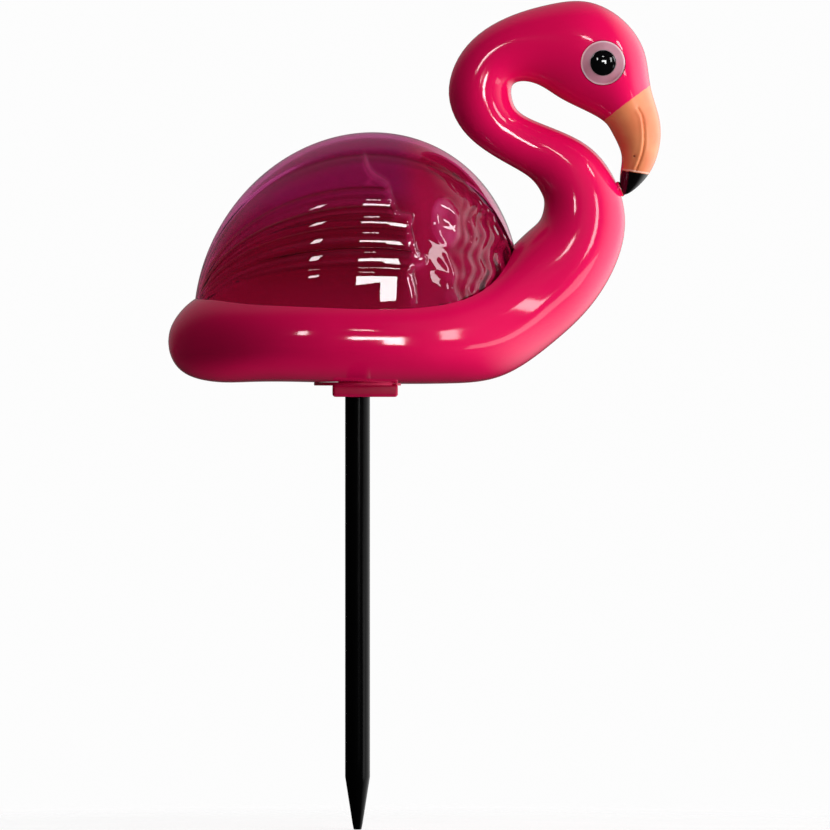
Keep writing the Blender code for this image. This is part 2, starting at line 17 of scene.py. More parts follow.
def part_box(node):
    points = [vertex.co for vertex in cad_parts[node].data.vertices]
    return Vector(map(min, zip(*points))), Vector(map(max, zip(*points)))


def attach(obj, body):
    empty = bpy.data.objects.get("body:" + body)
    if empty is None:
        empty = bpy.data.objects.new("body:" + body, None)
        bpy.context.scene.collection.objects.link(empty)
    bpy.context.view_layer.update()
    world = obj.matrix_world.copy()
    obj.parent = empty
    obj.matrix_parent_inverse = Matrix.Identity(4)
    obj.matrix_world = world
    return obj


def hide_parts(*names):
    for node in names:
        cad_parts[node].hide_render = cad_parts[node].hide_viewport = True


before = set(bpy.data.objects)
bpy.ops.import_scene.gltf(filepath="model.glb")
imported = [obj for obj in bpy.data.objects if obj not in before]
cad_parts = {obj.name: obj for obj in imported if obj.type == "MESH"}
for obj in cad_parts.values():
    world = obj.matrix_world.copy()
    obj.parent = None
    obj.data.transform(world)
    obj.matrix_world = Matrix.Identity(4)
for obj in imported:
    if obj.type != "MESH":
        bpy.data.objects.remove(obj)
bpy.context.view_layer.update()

# %% [markdown]
# ## Two ways to give a place
# A free form such as a bird is easiest to write in percent of its own length, seen from the side. The level
# of the belly comes from the solid socket below it, so the finished skin always meets what carries it.

# %% Places on the bird
BIRD_LENGTH = 0.237
SHARE = BIRD_LENGTH / 100
BOSS_DROP = 0.0055
FLANGE_PROUD = 0.0009
FIT_GAP = 0.0003
BOSS_FLOOR_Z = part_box("socket")[0][2]
BELLY_Z = BOSS_FLOOR_Z + BOSS_DROP + FLANGE_PROUD


def on_bird(place, y=0.0):
    """A place in percent of the bird's length, as a point in metres."""
    return Vector((place[0] * SHARE, y, BELLY_Z + place[1] * SHARE))


print(f"belly plane at {BELLY_Z:.4f} m, one percent is {SHARE * 1000:.2f} mm")

# %% [markdown]
# ## The camera
# The photograph is a level view from the side, taken with a long lens. A pixel of it covers a little under
# half a millimetre at the bird, which gives the width of the view, and the width gives the lens.

# %% Camera
PHOTO_PIXELS = 830
PIXEL = 0.000482
VIEW_WIDTH = PHOTO_PIXELS * PIXEL
VIEW_CENTRE = (0.0277, 0.1998)
CAMERA_DISTANCE = 6.0
SENSOR = 36.0

scene = bpy.context.scene
camera_data = bpy.data.cameras.new("camera")
camera_data.sensor_width = SENSOR
camera_data.lens = SENSOR * CAMERA_DISTANCE / VIEW_WIDTH
camera = bpy.data.objects.new("camera", camera_data)
camera.location = (VIEW_CENTRE[0], -CAMERA_DISTANCE, VIEW_CENTRE[1])
camera.rotation_euler = (math.radians(90), 0.0, 0.0)
scene.collection.objects.link(camera)
scene.camera = camera
scene.view_settings.view_transform = "Standard"
print(f"lens of {camera_data.lens:.0f} mm for a view {VIEW_WIDTH * 1000:.0f} mm wide")

# %% [markdown]
# ## Sums with nodes
# A material is a graph of nodes, and wiring it by hand takes many lines. One small class holds a socket and
# answers to + - * / and **, so that a mask or a colour can be written as a sum. Numbers go through Math
# nodes, vectors through Vector Math, and colours through Mix, because a Math node turns a colour grey.

# %% The class that writes materials
class Flow:
    """What comes out of one socket, ready for sums."""

    def __init__(self, tree, socket):
        self.tree = tree
        self.socket = socket

    def node(self, kind, settings=None, inputs=None, output=0):
        """Adds any node: its settings first, then the values or links of its sockets."""
        made = self.tree.nodes.new(kind)
        for name, value in (settings or {}).items():
            setattr(made, name, value)
        for name, value in (inputs or {}).items():
            fill(self.tree, made.inputs[name], value)
        return Flow(self.tree, made.outputs[output])

    def sum(self, operation, first, second):
        """A Math node, or a Vector Math node if a vector goes in."""
        is_vector = any(isinstance(part, Flow) and part.socket.type == "VECTOR" for part in (first, second))
        if is_vector:
            first, second = as_vector(first), as_vector(second)
        kind = "ShaderNodeVectorMath" if is_vector else "ShaderNodeMath"
        return self.node(kind, {"operation": operation}, {0: first, 1: second})

    def __add__(self, other):
        return self.sum("ADD", self, other)

    __radd__ = __add__

    def __sub__(self, other):
        return self.sum("SUBTRACT", self, other)

    def __rsub__(self, other):
        return self.sum("SUBTRACT", other, self)

    def __mul__(self, other):
        return self.sum("MULTIPLY", self, other)

    __rmul__ = __mul__

    def __truediv__(self, other):
        return self.sum("DIVIDE", self, other)

    def __pow__(self, other):
        return self.sum("POWER", self, other)

    def clear_step(self, low, high):
        """0 below low, 1 above high, and a soft rise between."""
        limits = {"Value": self, "From Min": low, "From Max": high}
        return self.node("ShaderNodeMapRange", {"interpolation_type": "SMOOTHSTEP"}, limits)

    def blend(self, off, on):
        """This number mixes two colours: off at 0, on at 1."""
        inputs = {"Factor": self, 6: as_colour(off), 7: as_colour(on)}
        return self.node("ShaderNodeMix", {"data_type": "RGBA"}, inputs, output=2)

    def part(self, axis):
        """One axis of a place."""
        return self.node("ShaderNodeSeparateXYZ", None, {"Vector": self}, output="XYZ".index(axis))


# %% What goes into a socket
def as_vector(value):
    return (value, value, value) if isinstance(value, (int, float)) else value


def as_colour(value):
    return (*value, 1.0) if isinstance(value, tuple) and len(value) == 3 else value


def fill(tree, socket, value):
    if isinstance(value, Flow):
        tree.links.new(value.socket, socket)
    else:
        socket.default_value = value


# %% [markdown]
# ## What every finish shares
# No moulded plastic is the same all over. Each finish starts with plain values on the shader, and soft noise
# then shifts three things a little from place to place: the colour, the roughness and the slope of the
# surface. The noise reads object places, so it needs no unwrapping and stays put when the piece moves.

# %% Helpers for finishes
def new_finish(name, plain):
    """A material whose shader gets its plain values, and a flow of the places on the object."""
    finish = bpy.data.materials.new(name)
    finish.use_nodes = True
    tree = finish.node_tree
    for socket, value in plain.items():
        tree.nodes["Principled BSDF"].inputs[socket].default_value = value
    return finish, Flow(tree, tree.nodes.new("ShaderNodeTexCoord").outputs["Object"])


def vary(finish, colour, roughness, normal):
    """Links what changes over the surface."""
    tree = finish.node_tree
    inputs = tree.nodes["Principled BSDF"].inputs
    for name, value in (("Base Color", colour), ("Roughness", roughness), ("Normal", normal)):
        fill(tree, inputs[name], value)
    print(f"{finish.name}: {len(tree.nodes)} nodes")
    return finish


def noise(place, scale, detail=2.0):
    """Soft noise from 0 to 1 with about this many grains to a metre."""
    return place.node("ShaderNodeTexNoise", None, {"Vector": place, "Scale": scale, "Detail": detail})


def mottled(place, scale, first, second, start=0.35, end=0.7):
    """Two colours in soft clouds."""
    return noise(place, scale, 3.0).clear_step(start, end).blend(first, second)


def bump(height, strength, distance, normal=None):
    """Slopes from a height between 0 and 1, which stands for a distance in metres."""
    inputs = {"Height": height, "Strength": strength, "Distance": distance}
    if normal is not None:
        inputs["Normal"] = normal
    return height.node("ShaderNodeBump", None, inputs)


# %% [markdown]
# ## Smooth runs and fine grids
# The bird is a loft: many rings stand along a line from the tail to the beak. The rings come from a few
# ribs, joined by a natural cubic spline, which bends evenly and shows no kinks in a shiny surface.

# %% Helpers for smooth forms
def smooth_through(knots, values, at):
    """Natural cubic spline through the values at the knots, read at the given places."""
    steps = np.diff(knots)
    count = len(knots)
    matrix = np.eye(count)
    right = np.zeros_like(values, dtype=float)
    for i in range(1, count - 1):
        matrix[i, i - 1 : i + 2] = steps[i - 1], 2 * (steps[i - 1] + steps[i]), steps[i]
        slopes = (values[i + 1] - values[i]) / steps[i] - (values[i] - values[i - 1]) / steps[i - 1]
        right[i] = 6 * slopes
    bends = np.linalg.solve(matrix, right)
    span = np.clip(np.searchsorted(knots, at, side="right") - 1, 0, count - 2)
    width = steps[span][:, None]
    before = (knots[span + 1] - at)[:, None] / width
    after = 1 - before
    straight = before * values[span] + after * values[span + 1]
    bend = (before**3 - before) * bends[span] + (after**3 - after) * bends[span + 1]
    return straight + bend * width**2 / 6


def smoothstep(low, high, value):
    """0 at low, 1 at high and a soft rise between; low may be the higher number, which makes it fall."""
    share = np.clip((value - low) / (high - low), 0.0, 1.0)
    return share * share * (3 - 2 * share)


def bell(value, width):
    return np.exp(-((value / width) ** 2))


def signed_power(value, exponent):
    return np.sign(value) * np.abs(value) ** exponent


# %% Distance from a line
def beside_line(points, line):
    """Distances from a line in the side view, plus on its left, and which of its points are nearest."""
    away = points[:, None] - line[None]
    distance = np.hypot(away[..., 0], away[..., 1])
    nearest = distance.argmin(axis=1)
    picked = np.arange(len(points))
    ahead = np.gradient(line, axis=0)[nearest]
    offset = away[picked, nearest]
    cross = ahead[:, 0] * offset[:, 1] - ahead[:, 1] * offset[:, 0]
    return np.sign(cross) * distance[picked, nearest], nearest


def line_through(places, samples):
    """A smooth line through places in percent of the bird's length, as x and z in metres."""
    places = np.array(places)
    knots = np.concatenate([[0.0], np.cumsum(np.hypot(*np.diff(places, axis=0).T))])
    line = smooth_through(knots, places, np.linspace(0.0, knots[-1], samples)) * SHARE
    line[:, 1] += BELLY_Z
    return line


# %% [markdown]
# ## From points to a piece
# Every form below ends in the same way: rows of points, the faces between them, a mesh, and an object with
# its finish.

# %% Helpers for meshes and pieces
def grid_faces(rows, columns, closed):
    """Faces of a grid of points numbered row by row; closed joins its last column to the first."""
    index = np.arange(rows * columns).reshape(rows, columns)
    if closed:
        index = np.hstack([index, index[:, :1]])
    low, high = index[:-1], index[1:]
    return np.stack([low[:, :-1], low[:, 1:], high[:, 1:], high[:, :-1]], axis=-1).reshape(-1, 4).tolist()


def mesh_from(name, points, faces):
    """A mesh with all its faces turned to look outwards."""
    mesh = bpy.data.meshes.new(name)
    mesh.from_pydata([tuple(point) for point in points], [], faces)
    bm = bmesh.new()
    bm.from_mesh(mesh)
    bmesh.ops.recalc_face_normals(bm, faces=bm.faces)
    bm.to_mesh(mesh)
    bm.free()
    return mesh


def mesh_of(name, bm):
    mesh = bpy.data.meshes.new(name)
    bm.to_mesh(mesh)
    bm.free()
    return mesh


def smooth(mesh, sharp=35.0):
    """Smooth shading, but for edges sharper than an angle in degrees."""
    mesh.shade_smooth()
    mesh.set_sharp_from_angle(angle=math.radians(sharp))


def triangles(mesh):
    return sum(len(face.vertices) - 2 for face in mesh.polygons)


def show(name, mesh, finish, sharp=35.0):
    """Adds a piece with its finish."""
    mesh.materials.clear()
    mesh.materials.append(finish)
    smooth(mesh, sharp)
    piece = bpy.data.objects.new(name, mesh)
    scene.collection.objects.link(piece)
    print(f"{name}: {len(mesh.vertices)} points, {triangles(mesh)} triangles")
    return piece


def place_on_light(piece, slot, *nodes):
    """The piece rides on the object's only body and stands for these solids."""
    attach(piece, "root")
    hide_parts(*nodes)


# %% [markdown]
# ## The ribs of the bird
# Each rib has a top, a bottom, half a width and a waist, the share of its height at which it is widest.
# Along the neck the top is the inner edge of the bend. The hull's ribs are a little square, the neck's round.

# %% Ribs, in percent of the bird's length
HULL_WAIST = 0.62
MIDWAY = 0.5
HULL_SQUARENESS = 2.3
ROUND = 2.0
# Name, x and z of the top, x and z of the bottom, half the width, and waist
RIBS = (
    ("tail end", (-38.5, 8.6), (-38.5, 8.6), 0.0, HULL_WAIST),
    ("tail face", (-38.2, 10.9), (-38.2, 6.2), 4.5, HULL_WAIST),
    ("tail corner", (-36.1, 14.6), (-35.9, 2.6), 10.2, HULL_WAIST),
    ("stern", (-31.6, 18.1), (-30.4, 0.5), 15.4, HULL_WAIST),
    ("after hull", (-21.8, 20.0), (-21.8, 0.3), 21.3, HULL_WAIST),
    ("middle hull", (0.5, 20.4), (0.5, 0.0), 25.8, HULL_WAIST),
    ("fore hull", (16.8, 20.8), (18.8, 0.0), 22.8, HULL_WAIST),
    ("breast foot", (26.1, 23.5), (30.0, 1.8), 17.9, HULL_WAIST),
    ("breast", (31.4, 27.9), (40.0, 8.5), 13.6, 0.60),
    ("neck root", (35.1, 31.4), (48.7, 17.4), 11.0, 0.56),
    ("lower neck", (37.3, 33.8), (53.9, 28.4), 9.1, 0.52),
    ("neck front", (37.9, 36.3), (54.0, 36.9), 7.9, MIDWAY),
    ("neck bend", (37.3, 38.9), (48.7, 46.8), 6.7, MIDWAY),
    ("slant", (35.3, 41.6), (42.4, 50.9), 5.8, MIDWAY),
    ("slant end", (26.1, 47.3), (32.6, 55.6), 5.5, MIDWAY),
    ("hook foot", (21.4, 51.5), (31.5, 57.8), 5.9, MIDWAY),
    ("hook back", (18.5, 58.8), (31.3, 59.5), 6.2, MIDWAY),
    ("hook shoulder", (20.4, 66.2), (31.6, 60.7), 6.1, MIDWAY),
    ("nape", (39.1, 77.2), (37.3, 60.5), 7.5, MIDWAY),
    ("crown", (47.3, 77.6), (40.8, 58.3), 8.5, MIDWAY),
    ("forehead", (58.4, 67.4), (47.7, 54.8), 8.9, MIDWAY),
    ("beak root", (59.7, 60.1), (50.5, 52.9), 7.7, MIDWAY),
    ("beak bulge", (61.4, 54.0), (51.9, 50.7), 6.3, MIDWAY),
    ("beak middle", (61.2, 47.1), (53.6, 46.6), 5.0, MIDWAY),
    ("beak end", (57.5, 40.5), (53.3, 41.4), 2.4, MIDWAY),
    ("beak tip", (54.1, 38.4), (54.1, 38.4), 0.0, MIDWAY),
)
RIB_NAMES = [rib[0] for rib in RIBS]


def rib_values():
    """Ribs in metres: top x and z, bottom x and z, half width, waist."""
    rows = []
    for _, top, bottom, half_width, waist in RIBS:
        top, bottom = on_bird(top), on_bird(bottom)
        rows.append((top.x, top.z, bottom.x, bottom.z, half_width * SHARE, waist))
    return np.array(rows)


# %% Rings between the ribs
def mirrored_rib(row):
    """The rib's continuation past a closed end, which makes the end round."""
    return np.array((row[2], row[3], row[0], row[1], -row[4], row[5]))


def stations(step_at, last_rib):
    """Rings along the bird as far as a rib; step_at gives the step between rings after each rib."""
    rows = rib_values()
    rows = np.vstack([mirrored_rib(rows[1]), rows, mirrored_rib(rows[-2])])
    moves = np.diff(rows, axis=0)
    lengths = (np.hypot(moves[:, 0], moves[:, 1]) + np.hypot(moves[:, 2], moves[:, 3])) / 2
    knots = np.concatenate([[0.0], np.cumsum(lengths)])
    last = RIB_NAMES.index(last_rib) + 1
    places = []
    for i in range(1, last):
        pieces = math.ceil(lengths[i] / step_at(RIB_NAMES[i - 1]))
        places.extend(knots[i] + (knots[i + 1] - knots[i]) * k / pieces for k in range(pieces))
    places.append(knots[last])
    return smooth_through(knots, rows, np.array(places))


def rib_points(rows, angles):
    """Points on the rings, a row for each ring, at angles from its +Y side over its top."""
    top, bottom = rows[:, None, 0:2], rows[:, None, 2:4]
    waist = rows[:, None, 5]
    middle = top + (bottom - top) * waist[..., None]
    hull_share = (waist - MIDWAY) / (HULL_WAIST - MIDWAY)
    exponent = 2 / (ROUND + (HULL_SQUARENESS - ROUND) * hull_share)
    height = signed_power(np.sin(angles)[None, :], exponent)[..., None]
    side = middle + np.where(height > 0, top - middle, middle - bottom) * height
    across = rows[:, None, 4] * signed_power(np.cos(angles)[None, :], exponent)
    return np.stack([side[..., 0], across, side[..., 1]], axis=-1)


print(f"{len(RIBS)} ribs shape the bird")

# %% [markdown]
# ## The mouth line
# The two halves of the beak meet in a fine curved groove with a soft ridge behind it. Both could be cut with
# a Boolean, but a groove of under a millimetre is smoother when it is pressed into the fine mesh: each point
# moves along its own normal by an amount that depends on how far it lies from the line in the side view.

# %% Relief of the beak
MOUTH_LINE = ((57.0, 55.8), (57.7, 54.6), (58.15, 52.5), (58.25, 49.3), (57.65, 46.0), (56.6, 43.4))
MOUTH_DEPTH = 0.0007
MOUTH_WIDTH = 0.00055
LIP_HEIGHT = 0.0003
LIP_OFFSET = 0.0014
LIP_WIDTH = 0.0009
MOUTH_SAMPLES = 160
PORE = ((56.2, 46.2), (56.3, 46.2))
PORE_DEPTH = 0.0006
PORE_WIDTH = 0.0005
BEAK_CORNER = (50.0, 42.0)
BEAK_TOP = 58.0


def beak_relief(points):
    """How far points of the beak move outwards, from their place in the side view."""
    signed, nearest = beside_line(points[:, [0, 2]], line_through(MOUTH_LINE, MOUTH_SAMPLES))
    inside = (nearest > 0) & (nearest < MOUTH_SAMPLES - 1)
    lip = LIP_HEIGHT * bell(signed + LIP_OFFSET, LIP_WIDTH) * inside
    pore = PORE_DEPTH * bell(np.hypot(*(points[:, [0, 2]] - line_through(PORE, 2)[0]).T), PORE_WIDTH)
    return lip - MOUTH_DEPTH * bell(signed, MOUTH_WIDTH) - pore


mouth_steps = np.diff(line_through(MOUTH_LINE, MOUTH_SAMPLES), axis=0)
print(f"mouth line {np.hypot(*mouth_steps.T).sum() * 1000:.0f} mm long")

# %% [markdown]
# ## The skin of the bird
# The fine loft has the same ribs as the solid. The rings stand closer together on the beak, where the mouth
# line needs them. The skin lies a tenth of a millimetre inside the solid's, so it can't stick out anywhere.

# %% Fine loft
AROUND_SKIN = 160
SKIN_STEP = 0.0024
BEAK_STEP = 0.0007
SKIN_INSET = 0.0001
POINT_WIDTH = 1e-6
BEAK_RIBS = ("beak root", "beak bulge", "beak middle", "beak end")


def skin_step(rib):
    return BEAK_STEP if rib in BEAK_RIBS else SKIN_STEP


def loft_mesh(name, rows, around, relief=None):
    """A closed loft whose first ring is a point; its last is a point too, or is closed by a flat cap."""
    angles = 2 * np.pi * np.arange(around) / around
    pointed = rows[-1][4] < POINT_WIDTH
    rings = rib_points(rows[1:-1] if pointed else rows[1:], angles)
    count = len(rings)
    if relief is not None:
        rings = relief(rings)
    points = rings.reshape(-1, 3)
    faces = grid_faces(count, around, closed=True)
    tail = len(points)
    faces += [(i, (i + 1) % around, tail) for i in range(around)]
    ends = [(rows[0][0], 0.0, rows[0][1])]
    last = (count - 1) * around
    if pointed:
        faces += [(last + i, last + (i + 1) % around, tail + 1) for i in range(around)]
        ends.append((rows[-1][0], 0.0, rows[-1][1]))
    else:
        faces.append(tuple(last + i for i in range(around)))
    return mesh_from(name, np.vstack([points, ends]), faces)


def press_mouth(rings):
    """Moves the beak's points along their normals by the relief."""
    along = np.gradient(rings, axis=0)
    around = np.roll(rings, -1, axis=1) - np.roll(rings, 1, axis=1)
    normals = np.cross(around, along)
    normals /= np.linalg.norm(normals, axis=-1, keepdims=True)
    outwards = rings - rings.mean(axis=1, keepdims=True)
    normals *= np.sign((normals * outwards).sum(axis=-1, keepdims=True))
    corner, top = on_bird(BEAK_CORNER), on_bird((0.0, BEAK_TOP))
    beak = (rings[..., 0] > corner.x) & (rings[..., 2] > corner.z) & (rings[..., 2] < top.z)
    moved = rings - normals * SKIN_INSET
    moved[beak] += normals[beak] * beak_relief(rings[beak])[:, None]
    return moved


skin_rows = stations(skin_step, "beak tip")
skin_mesh = loft_mesh("bird_skin", skin_rows, AROUND_SKIN, press_mouth)
plain_skin = BVHTree.FromPolygons(
    [v.co.copy() for v in skin_mesh.vertices], [tuple(p.vertices) for p in skin_mesh.polygons]
)
print(f"bird skin: {len(skin_rows)} rings of {AROUND_SKIN} points")

# %% [markdown]
# ## The form of the dome
# The dome is an ellipsoid that leans forward and is cut off level. A stretched sphere would do for that, but
# its lines would not run from tail to breast as the feathers do. So rays from the middle of its foot find
# its skin: one angle turns from the tail to the breast, the other rises from the foot over the back.

# %% Ellipsoid
DOME_CENTRE = (-0.2, 15.7)
DOME_LONG = 36.3
DOME_SHORT = 32.2
DOME_HALF_WIDTH = 22.0
DOME_LEAN = math.radians(28.0)
LEDGE_HEIGHT = 13.2
LEDGE_Z = on_bird((0.0, LEDGE_HEIGHT)).z
DOME_WALL = 0.0025


class Dome:
    """The ellipsoid grown by an offset and cut off at a level."""

    def __init__(self, offset, floor_z):
        long = DOME_LONG * SHARE + offset
        short = DOME_SHORT * SHARE + offset
        self.half_width = DOME_HALF_WIDTH * SHARE + offset
        lean_x, lean_z = math.sin(DOME_LEAN), math.cos(DOME_LEAN)
        self.xx = (lean_x / long) ** 2 + (lean_z / short) ** 2
        self.zz = (lean_z / long) ** 2 + (lean_x / short) ** 2
        self.xz = 2 * lean_x * lean_z * (1 / long**2 - 1 / short**2)
        centre = on_bird(DOME_CENTRE)
        self.low = floor_z - centre.z
        self.middle = -self.xz * self.low / (2 * self.xx)
        self.foot = np.array((centre.x + self.middle, 0.0, floor_z))
        self.inside = self.xx * self.middle**2 + self.xz * self.middle * self.low + self.zz * self.low**2 - 1
        self.half_length = math.sqrt(-self.inside / self.xx)

    def holds(self, point):
        x = point[0] - self.foot[0] + self.middle
        z = point[2] - self.foot[2] + self.low
        return self.xx * x**2 + self.xz * x * z + self.zz * z**2 + (point[1] / self.half_width) ** 2 < 1

    def rays(self, turns, angles):
        """Directions and lengths of the rays, for every angle (rows) and every turn (columns)."""
        turn, angle = np.meshgrid(turns, angles)
        ray = np.stack([-np.cos(turn), np.sin(turn) * np.cos(angle), np.sin(turn) * np.sin(angle)], axis=-1)
        a = self.xx * ray[..., 0] ** 2 + self.xz * ray[..., 0] * ray[..., 2] + self.zz * ray[..., 2] ** 2
        a += (ray[..., 1] / self.half_width) ** 2
        b = 2 * self.xx * self.middle * ray[..., 0] + 2 * self.zz * self.low * ray[..., 2]
        b += self.xz * (self.middle * ray[..., 2] + self.low * ray[..., 0])
        return ray, (-b + np.sqrt(b * b - 4 * a * self.inside)) / (2 * a)

    def points(self, turns, angles, depth=None):
        """Points of the skin; depth gives how far each is pressed in."""
        ray, reach = self.rays(turns, angles)
        if depth is not None:
            skin = self.foot + ray * reach[..., None]
            reach = reach - depth(skin, np.meshgrid(turns, angles)[1])
        return self.foot + ray * reach[..., None]


def dome_grid(dome, turns, angles, depth=None):
    """Points and faces of a dome's skin. The first and the last turn are its pointed ends."""
    rows = dome.points(turns[1:-1], angles, depth)
    ends = dome.points(turns[[0, -1]], angles[:1])[0]
    columns = len(turns) - 2
    points = np.vstack([rows.reshape(-1, 3), ends])
    faces = grid_faces(len(angles), columns, closed=False)
    tail, breast = len(points) - 2, len(points) - 1
    for i in range(len(angles) - 1):
        faces.append((tail, i * columns, (i + 1) * columns))
        faces.append((breast, (i + 1) * columns - 1, (i + 2) * columns - 1))
    last = (len(angles) - 1) * columns
    foot = [tail, *range(columns), breast, *range(last + columns - 1, last - 1, -1)]
    return points, faces, foot


print(f"dome foot at {LEDGE_Z:.4f} m, {Dome(0.0, LEDGE_Z).half_length * 2000:.0f} mm long")

# %% [markdown]
# ## Cutting the bird
# The seat of the dome, the hollow of the hull, the ledge that carries the dome and the holes for the socket
# and the eyes are cut with Boolean modifiers. A cutter only a little larger than its piece leaves the small
# dark seam that real moulded parts show. The cut mesh is then read back, so that no modifier is left on it.

# %% Sizes of the cuts
SEAT_ANGLES = 97
SEAT_TURNS = 121
HULL_WALL = 0.003
LEDGE_THICKNESS = 0.003
LEDGE_REACH = 0.003
LIP_DROP = 0.0006
LIP_CLEAR = 0.003
FLANGE_DIAMETER = 0.042
FLANGE_THICKNESS = 0.0016
STAKE_DIAMETER = 0.012
STAKE_GAP = 0.0003
SOCKET_WALL = 0.003
EYE_CENTRE = (49.8, 65.0)
EYE_DIAMETER = 0.0212
EYE_SINK = 0.0036
TIP_WEB = (53.4, 39.6)
TIP_WEB_SIZE = 1.7
TIP_WEB_STRETCH = 1.9
TIP_WEB_LEAN = math.radians(-24.0)
OVERSHOOT = 0.002
CUT_SIDES = 96
CAVITY_STEP = 0.005
HALVINGS = 20
TOWER_DIAMETER = STAKE_DIAMETER + 2 * (STAKE_GAP + SOCKET_WALL)
print(f"the hull's wall is {HULL_WALL * 1000:.0f} mm, the dome's {DOME_WALL * 1000:.1f} mm")


# %% A cut, and plain cutters
def cut(piece, mesh, operation="DIFFERENCE"):
    """Cuts a mesh from a piece or joins it to it, and keeps only the result."""
    cutter = bpy.data.objects.new(mesh.name, mesh)
    scene.collection.objects.link(cutter)
    modifier = piece.modifiers.new(mesh.name, "BOOLEAN")
    modifier.operation = operation
    modifier.solver = "EXACT"
    modifier.object = cutter
    graph = bpy.context.evaluated_depsgraph_get()
    result = bpy.data.meshes.new_from_object(piece.evaluated_get(graph))
    piece.modifiers.clear()
    piece.data = result
    bpy.data.objects.remove(cutter, do_unlink=True)


def cylinder_mesh(name, diameter, low_z, high_z):
    bm = bmesh.new()
    place = Matrix.Translation((0.0, 0.0, (low_z + high_z) / 2))
    size = {"radius1": diameter / 2, "radius2": diameter / 2, "depth": high_z - low_z}
    bmesh.ops.create_cone(bm, cap_ends=True, segments=CUT_SIDES, matrix=place, **size)
    return mesh_of(name, bm)


def box_bmesh(low, high):
    bm = bmesh.new()
    low, high = Vector(low), Vector(high)
    place = Matrix.Translation((low + high) / 2) @ Matrix.Diagonal((*(high - low), 1.0))
    bmesh.ops.create_cube(bm, size=1.0, matrix=place)
    return bm


# %% [markdown]
# ## Seat and rim
# The hull wraps round the foot of the dome and would end there in a knife edge, which no mould can fill. So
# the line where the hull's skin meets the seat is found, and a band cut along it blunts the edge.

# %% Seat of the dome and rim of the hull
def seat_mesh():
    turns = np.linspace(0.0, np.pi, SEAT_TURNS)
    angles = np.linspace(0.0, np.pi, SEAT_ANGLES)
    points, faces, foot = dome_grid(Dome(FIT_GAP, LEDGE_Z), turns, angles)
    return mesh_from("dome_seat", points, [*faces, tuple(foot)])


def ring_point(row, angle):
    return rib_points(row[None], np.array([angle]))[0, 0]


def rim_line(rows):
    """Where the hull's skin meets the dome's seat, from tail to breast, on the +Y side."""
    dome = Dome(FIT_GAP, LEDGE_Z)
    line = []
    for row in rows:
        low, high = 0.0, math.pi / 2
        if not dome.holds(ring_point(row, high)):
            continue
        for _ in range(HALVINGS):
            middle = (low + high) / 2
            low, high = (low, middle) if dome.holds(ring_point(row, middle)) else (middle, high)
        line.append(ring_point(row, high))
    return np.array(line)


def rim_trim_mesh():
    """A band across the bird along the rim line, which blunts the hull's thin edge."""
    line = rim_line(stations(lambda rib: CAVITY_STEP, "neck front"))
    below = line + (LIP_DROP, 0.0, -LIP_DROP)
    above = line + (-LIP_DROP, 0.0, LIP_CLEAR)
    below[0, 0] -= LIP_CLEAR
    above[0, 0] -= LIP_CLEAR
    outline = np.vstack([below, above[::-1]])
    count = len(outline)
    points = np.vstack([outline * (1, 0, 1) + (0, y, 0) for y in (-BIRD_LENGTH / 2, BIRD_LENGTH / 2)])
    faces = grid_faces(2, count, closed=True)
    columns = len(line)
    for start in (0, count):
        for i in range(columns - 1):
            low, high = start + i, start + count - 1 - i
            faces.append((low, low + 1, high - 1, high))
    return mesh_from("rim_trim", points, faces)


# %% Hollow and ledge
def cavity_mesh():
    """The hollow of the hull: its outside set in by the wall, cut off level under the ledge."""
    mesh = loft_mesh("hull_cavity", stations(lambda rib: CAVITY_STEP, "breast"), CUT_SIDES // 2)
    for vertex, normal in [(v, v.normal.copy()) for v in mesh.vertices]:
        vertex.co -= normal * HULL_WALL
    cavity = bpy.data.objects.new("hull_cavity", mesh)
    scene.collection.objects.link(cavity)
    top = LEDGE_Z - LEDGE_THICKNESS
    reach = BIRD_LENGTH
    cut(cavity, mesh_of("above_cavity", box_bmesh((-reach, -reach, top), (reach, reach, top + reach))))
    mesh = cavity.data
    bpy.data.objects.remove(cavity, do_unlink=True)
    return mesh


def ledge_opening_mesh():
    """The opening inside the ledge, which follows the foot of the dome."""
    foot = Dome(-DOME_WALL - LEDGE_REACH, LEDGE_Z)
    turns = 2 * np.pi * np.arange(SEAT_TURNS) / SEAT_TURNS
    ring = foot.points(turns, np.array([0.0]))[0]
    heights = (LEDGE_Z - LEDGE_THICKNESS - OVERSHOOT, LEDGE_Z + OVERSHOOT)
    points = np.vstack([ring * (1, 1, 0) + (0, 0, z) for z in heights])
    faces = grid_faces(2, SEAT_TURNS, closed=True)
    faces += [tuple(range(SEAT_TURNS)), tuple(range(SEAT_TURNS, 2 * SEAT_TURNS))]
    return mesh_from("ledge_opening", points, faces)


# %% Eye sockets, and the web at the beak's tip
def eye_floor():
    """How far out the floor of the eye's socket lies, on the +Y side."""
    hit = plain_skin.ray_cast(on_bird(EYE_CENTRE, BIRD_LENGTH), Vector((0.0, -1.0, 0.0)))[0]
    return hit.y - EYE_SINK


def facing_side(side):
    """Turns a piece made along +Z so that it faces out of the head's side."""
    turn = Matrix.Rotation(math.radians(-90 * side), 4, "X")
    return Matrix.Translation(on_bird(EYE_CENTRE, EYE_FLOOR * side)) @ turn


def web_mesh():
    """The small web of plastic that joins the beak's tip to the neck."""
    bm = bmesh.new()
    place = Matrix.Translation(on_bird(TIP_WEB)) @ Matrix.Rotation(TIP_WEB_LEAN, 4, "Y")
    stretch = Matrix.Diagonal((1.0, 1.0, TIP_WEB_STRETCH, 1.0))
    bmesh.ops.create_icosphere(bm, subdivisions=3, radius=TIP_WEB_SIZE / 2 * SHARE, matrix=place @ stretch)
    return mesh_of("tip_web", bm)


EYE_FLOOR = eye_floor()
print(f"eyes stand {EYE_FLOOR * 1000:.1f} mm from the middle plane")

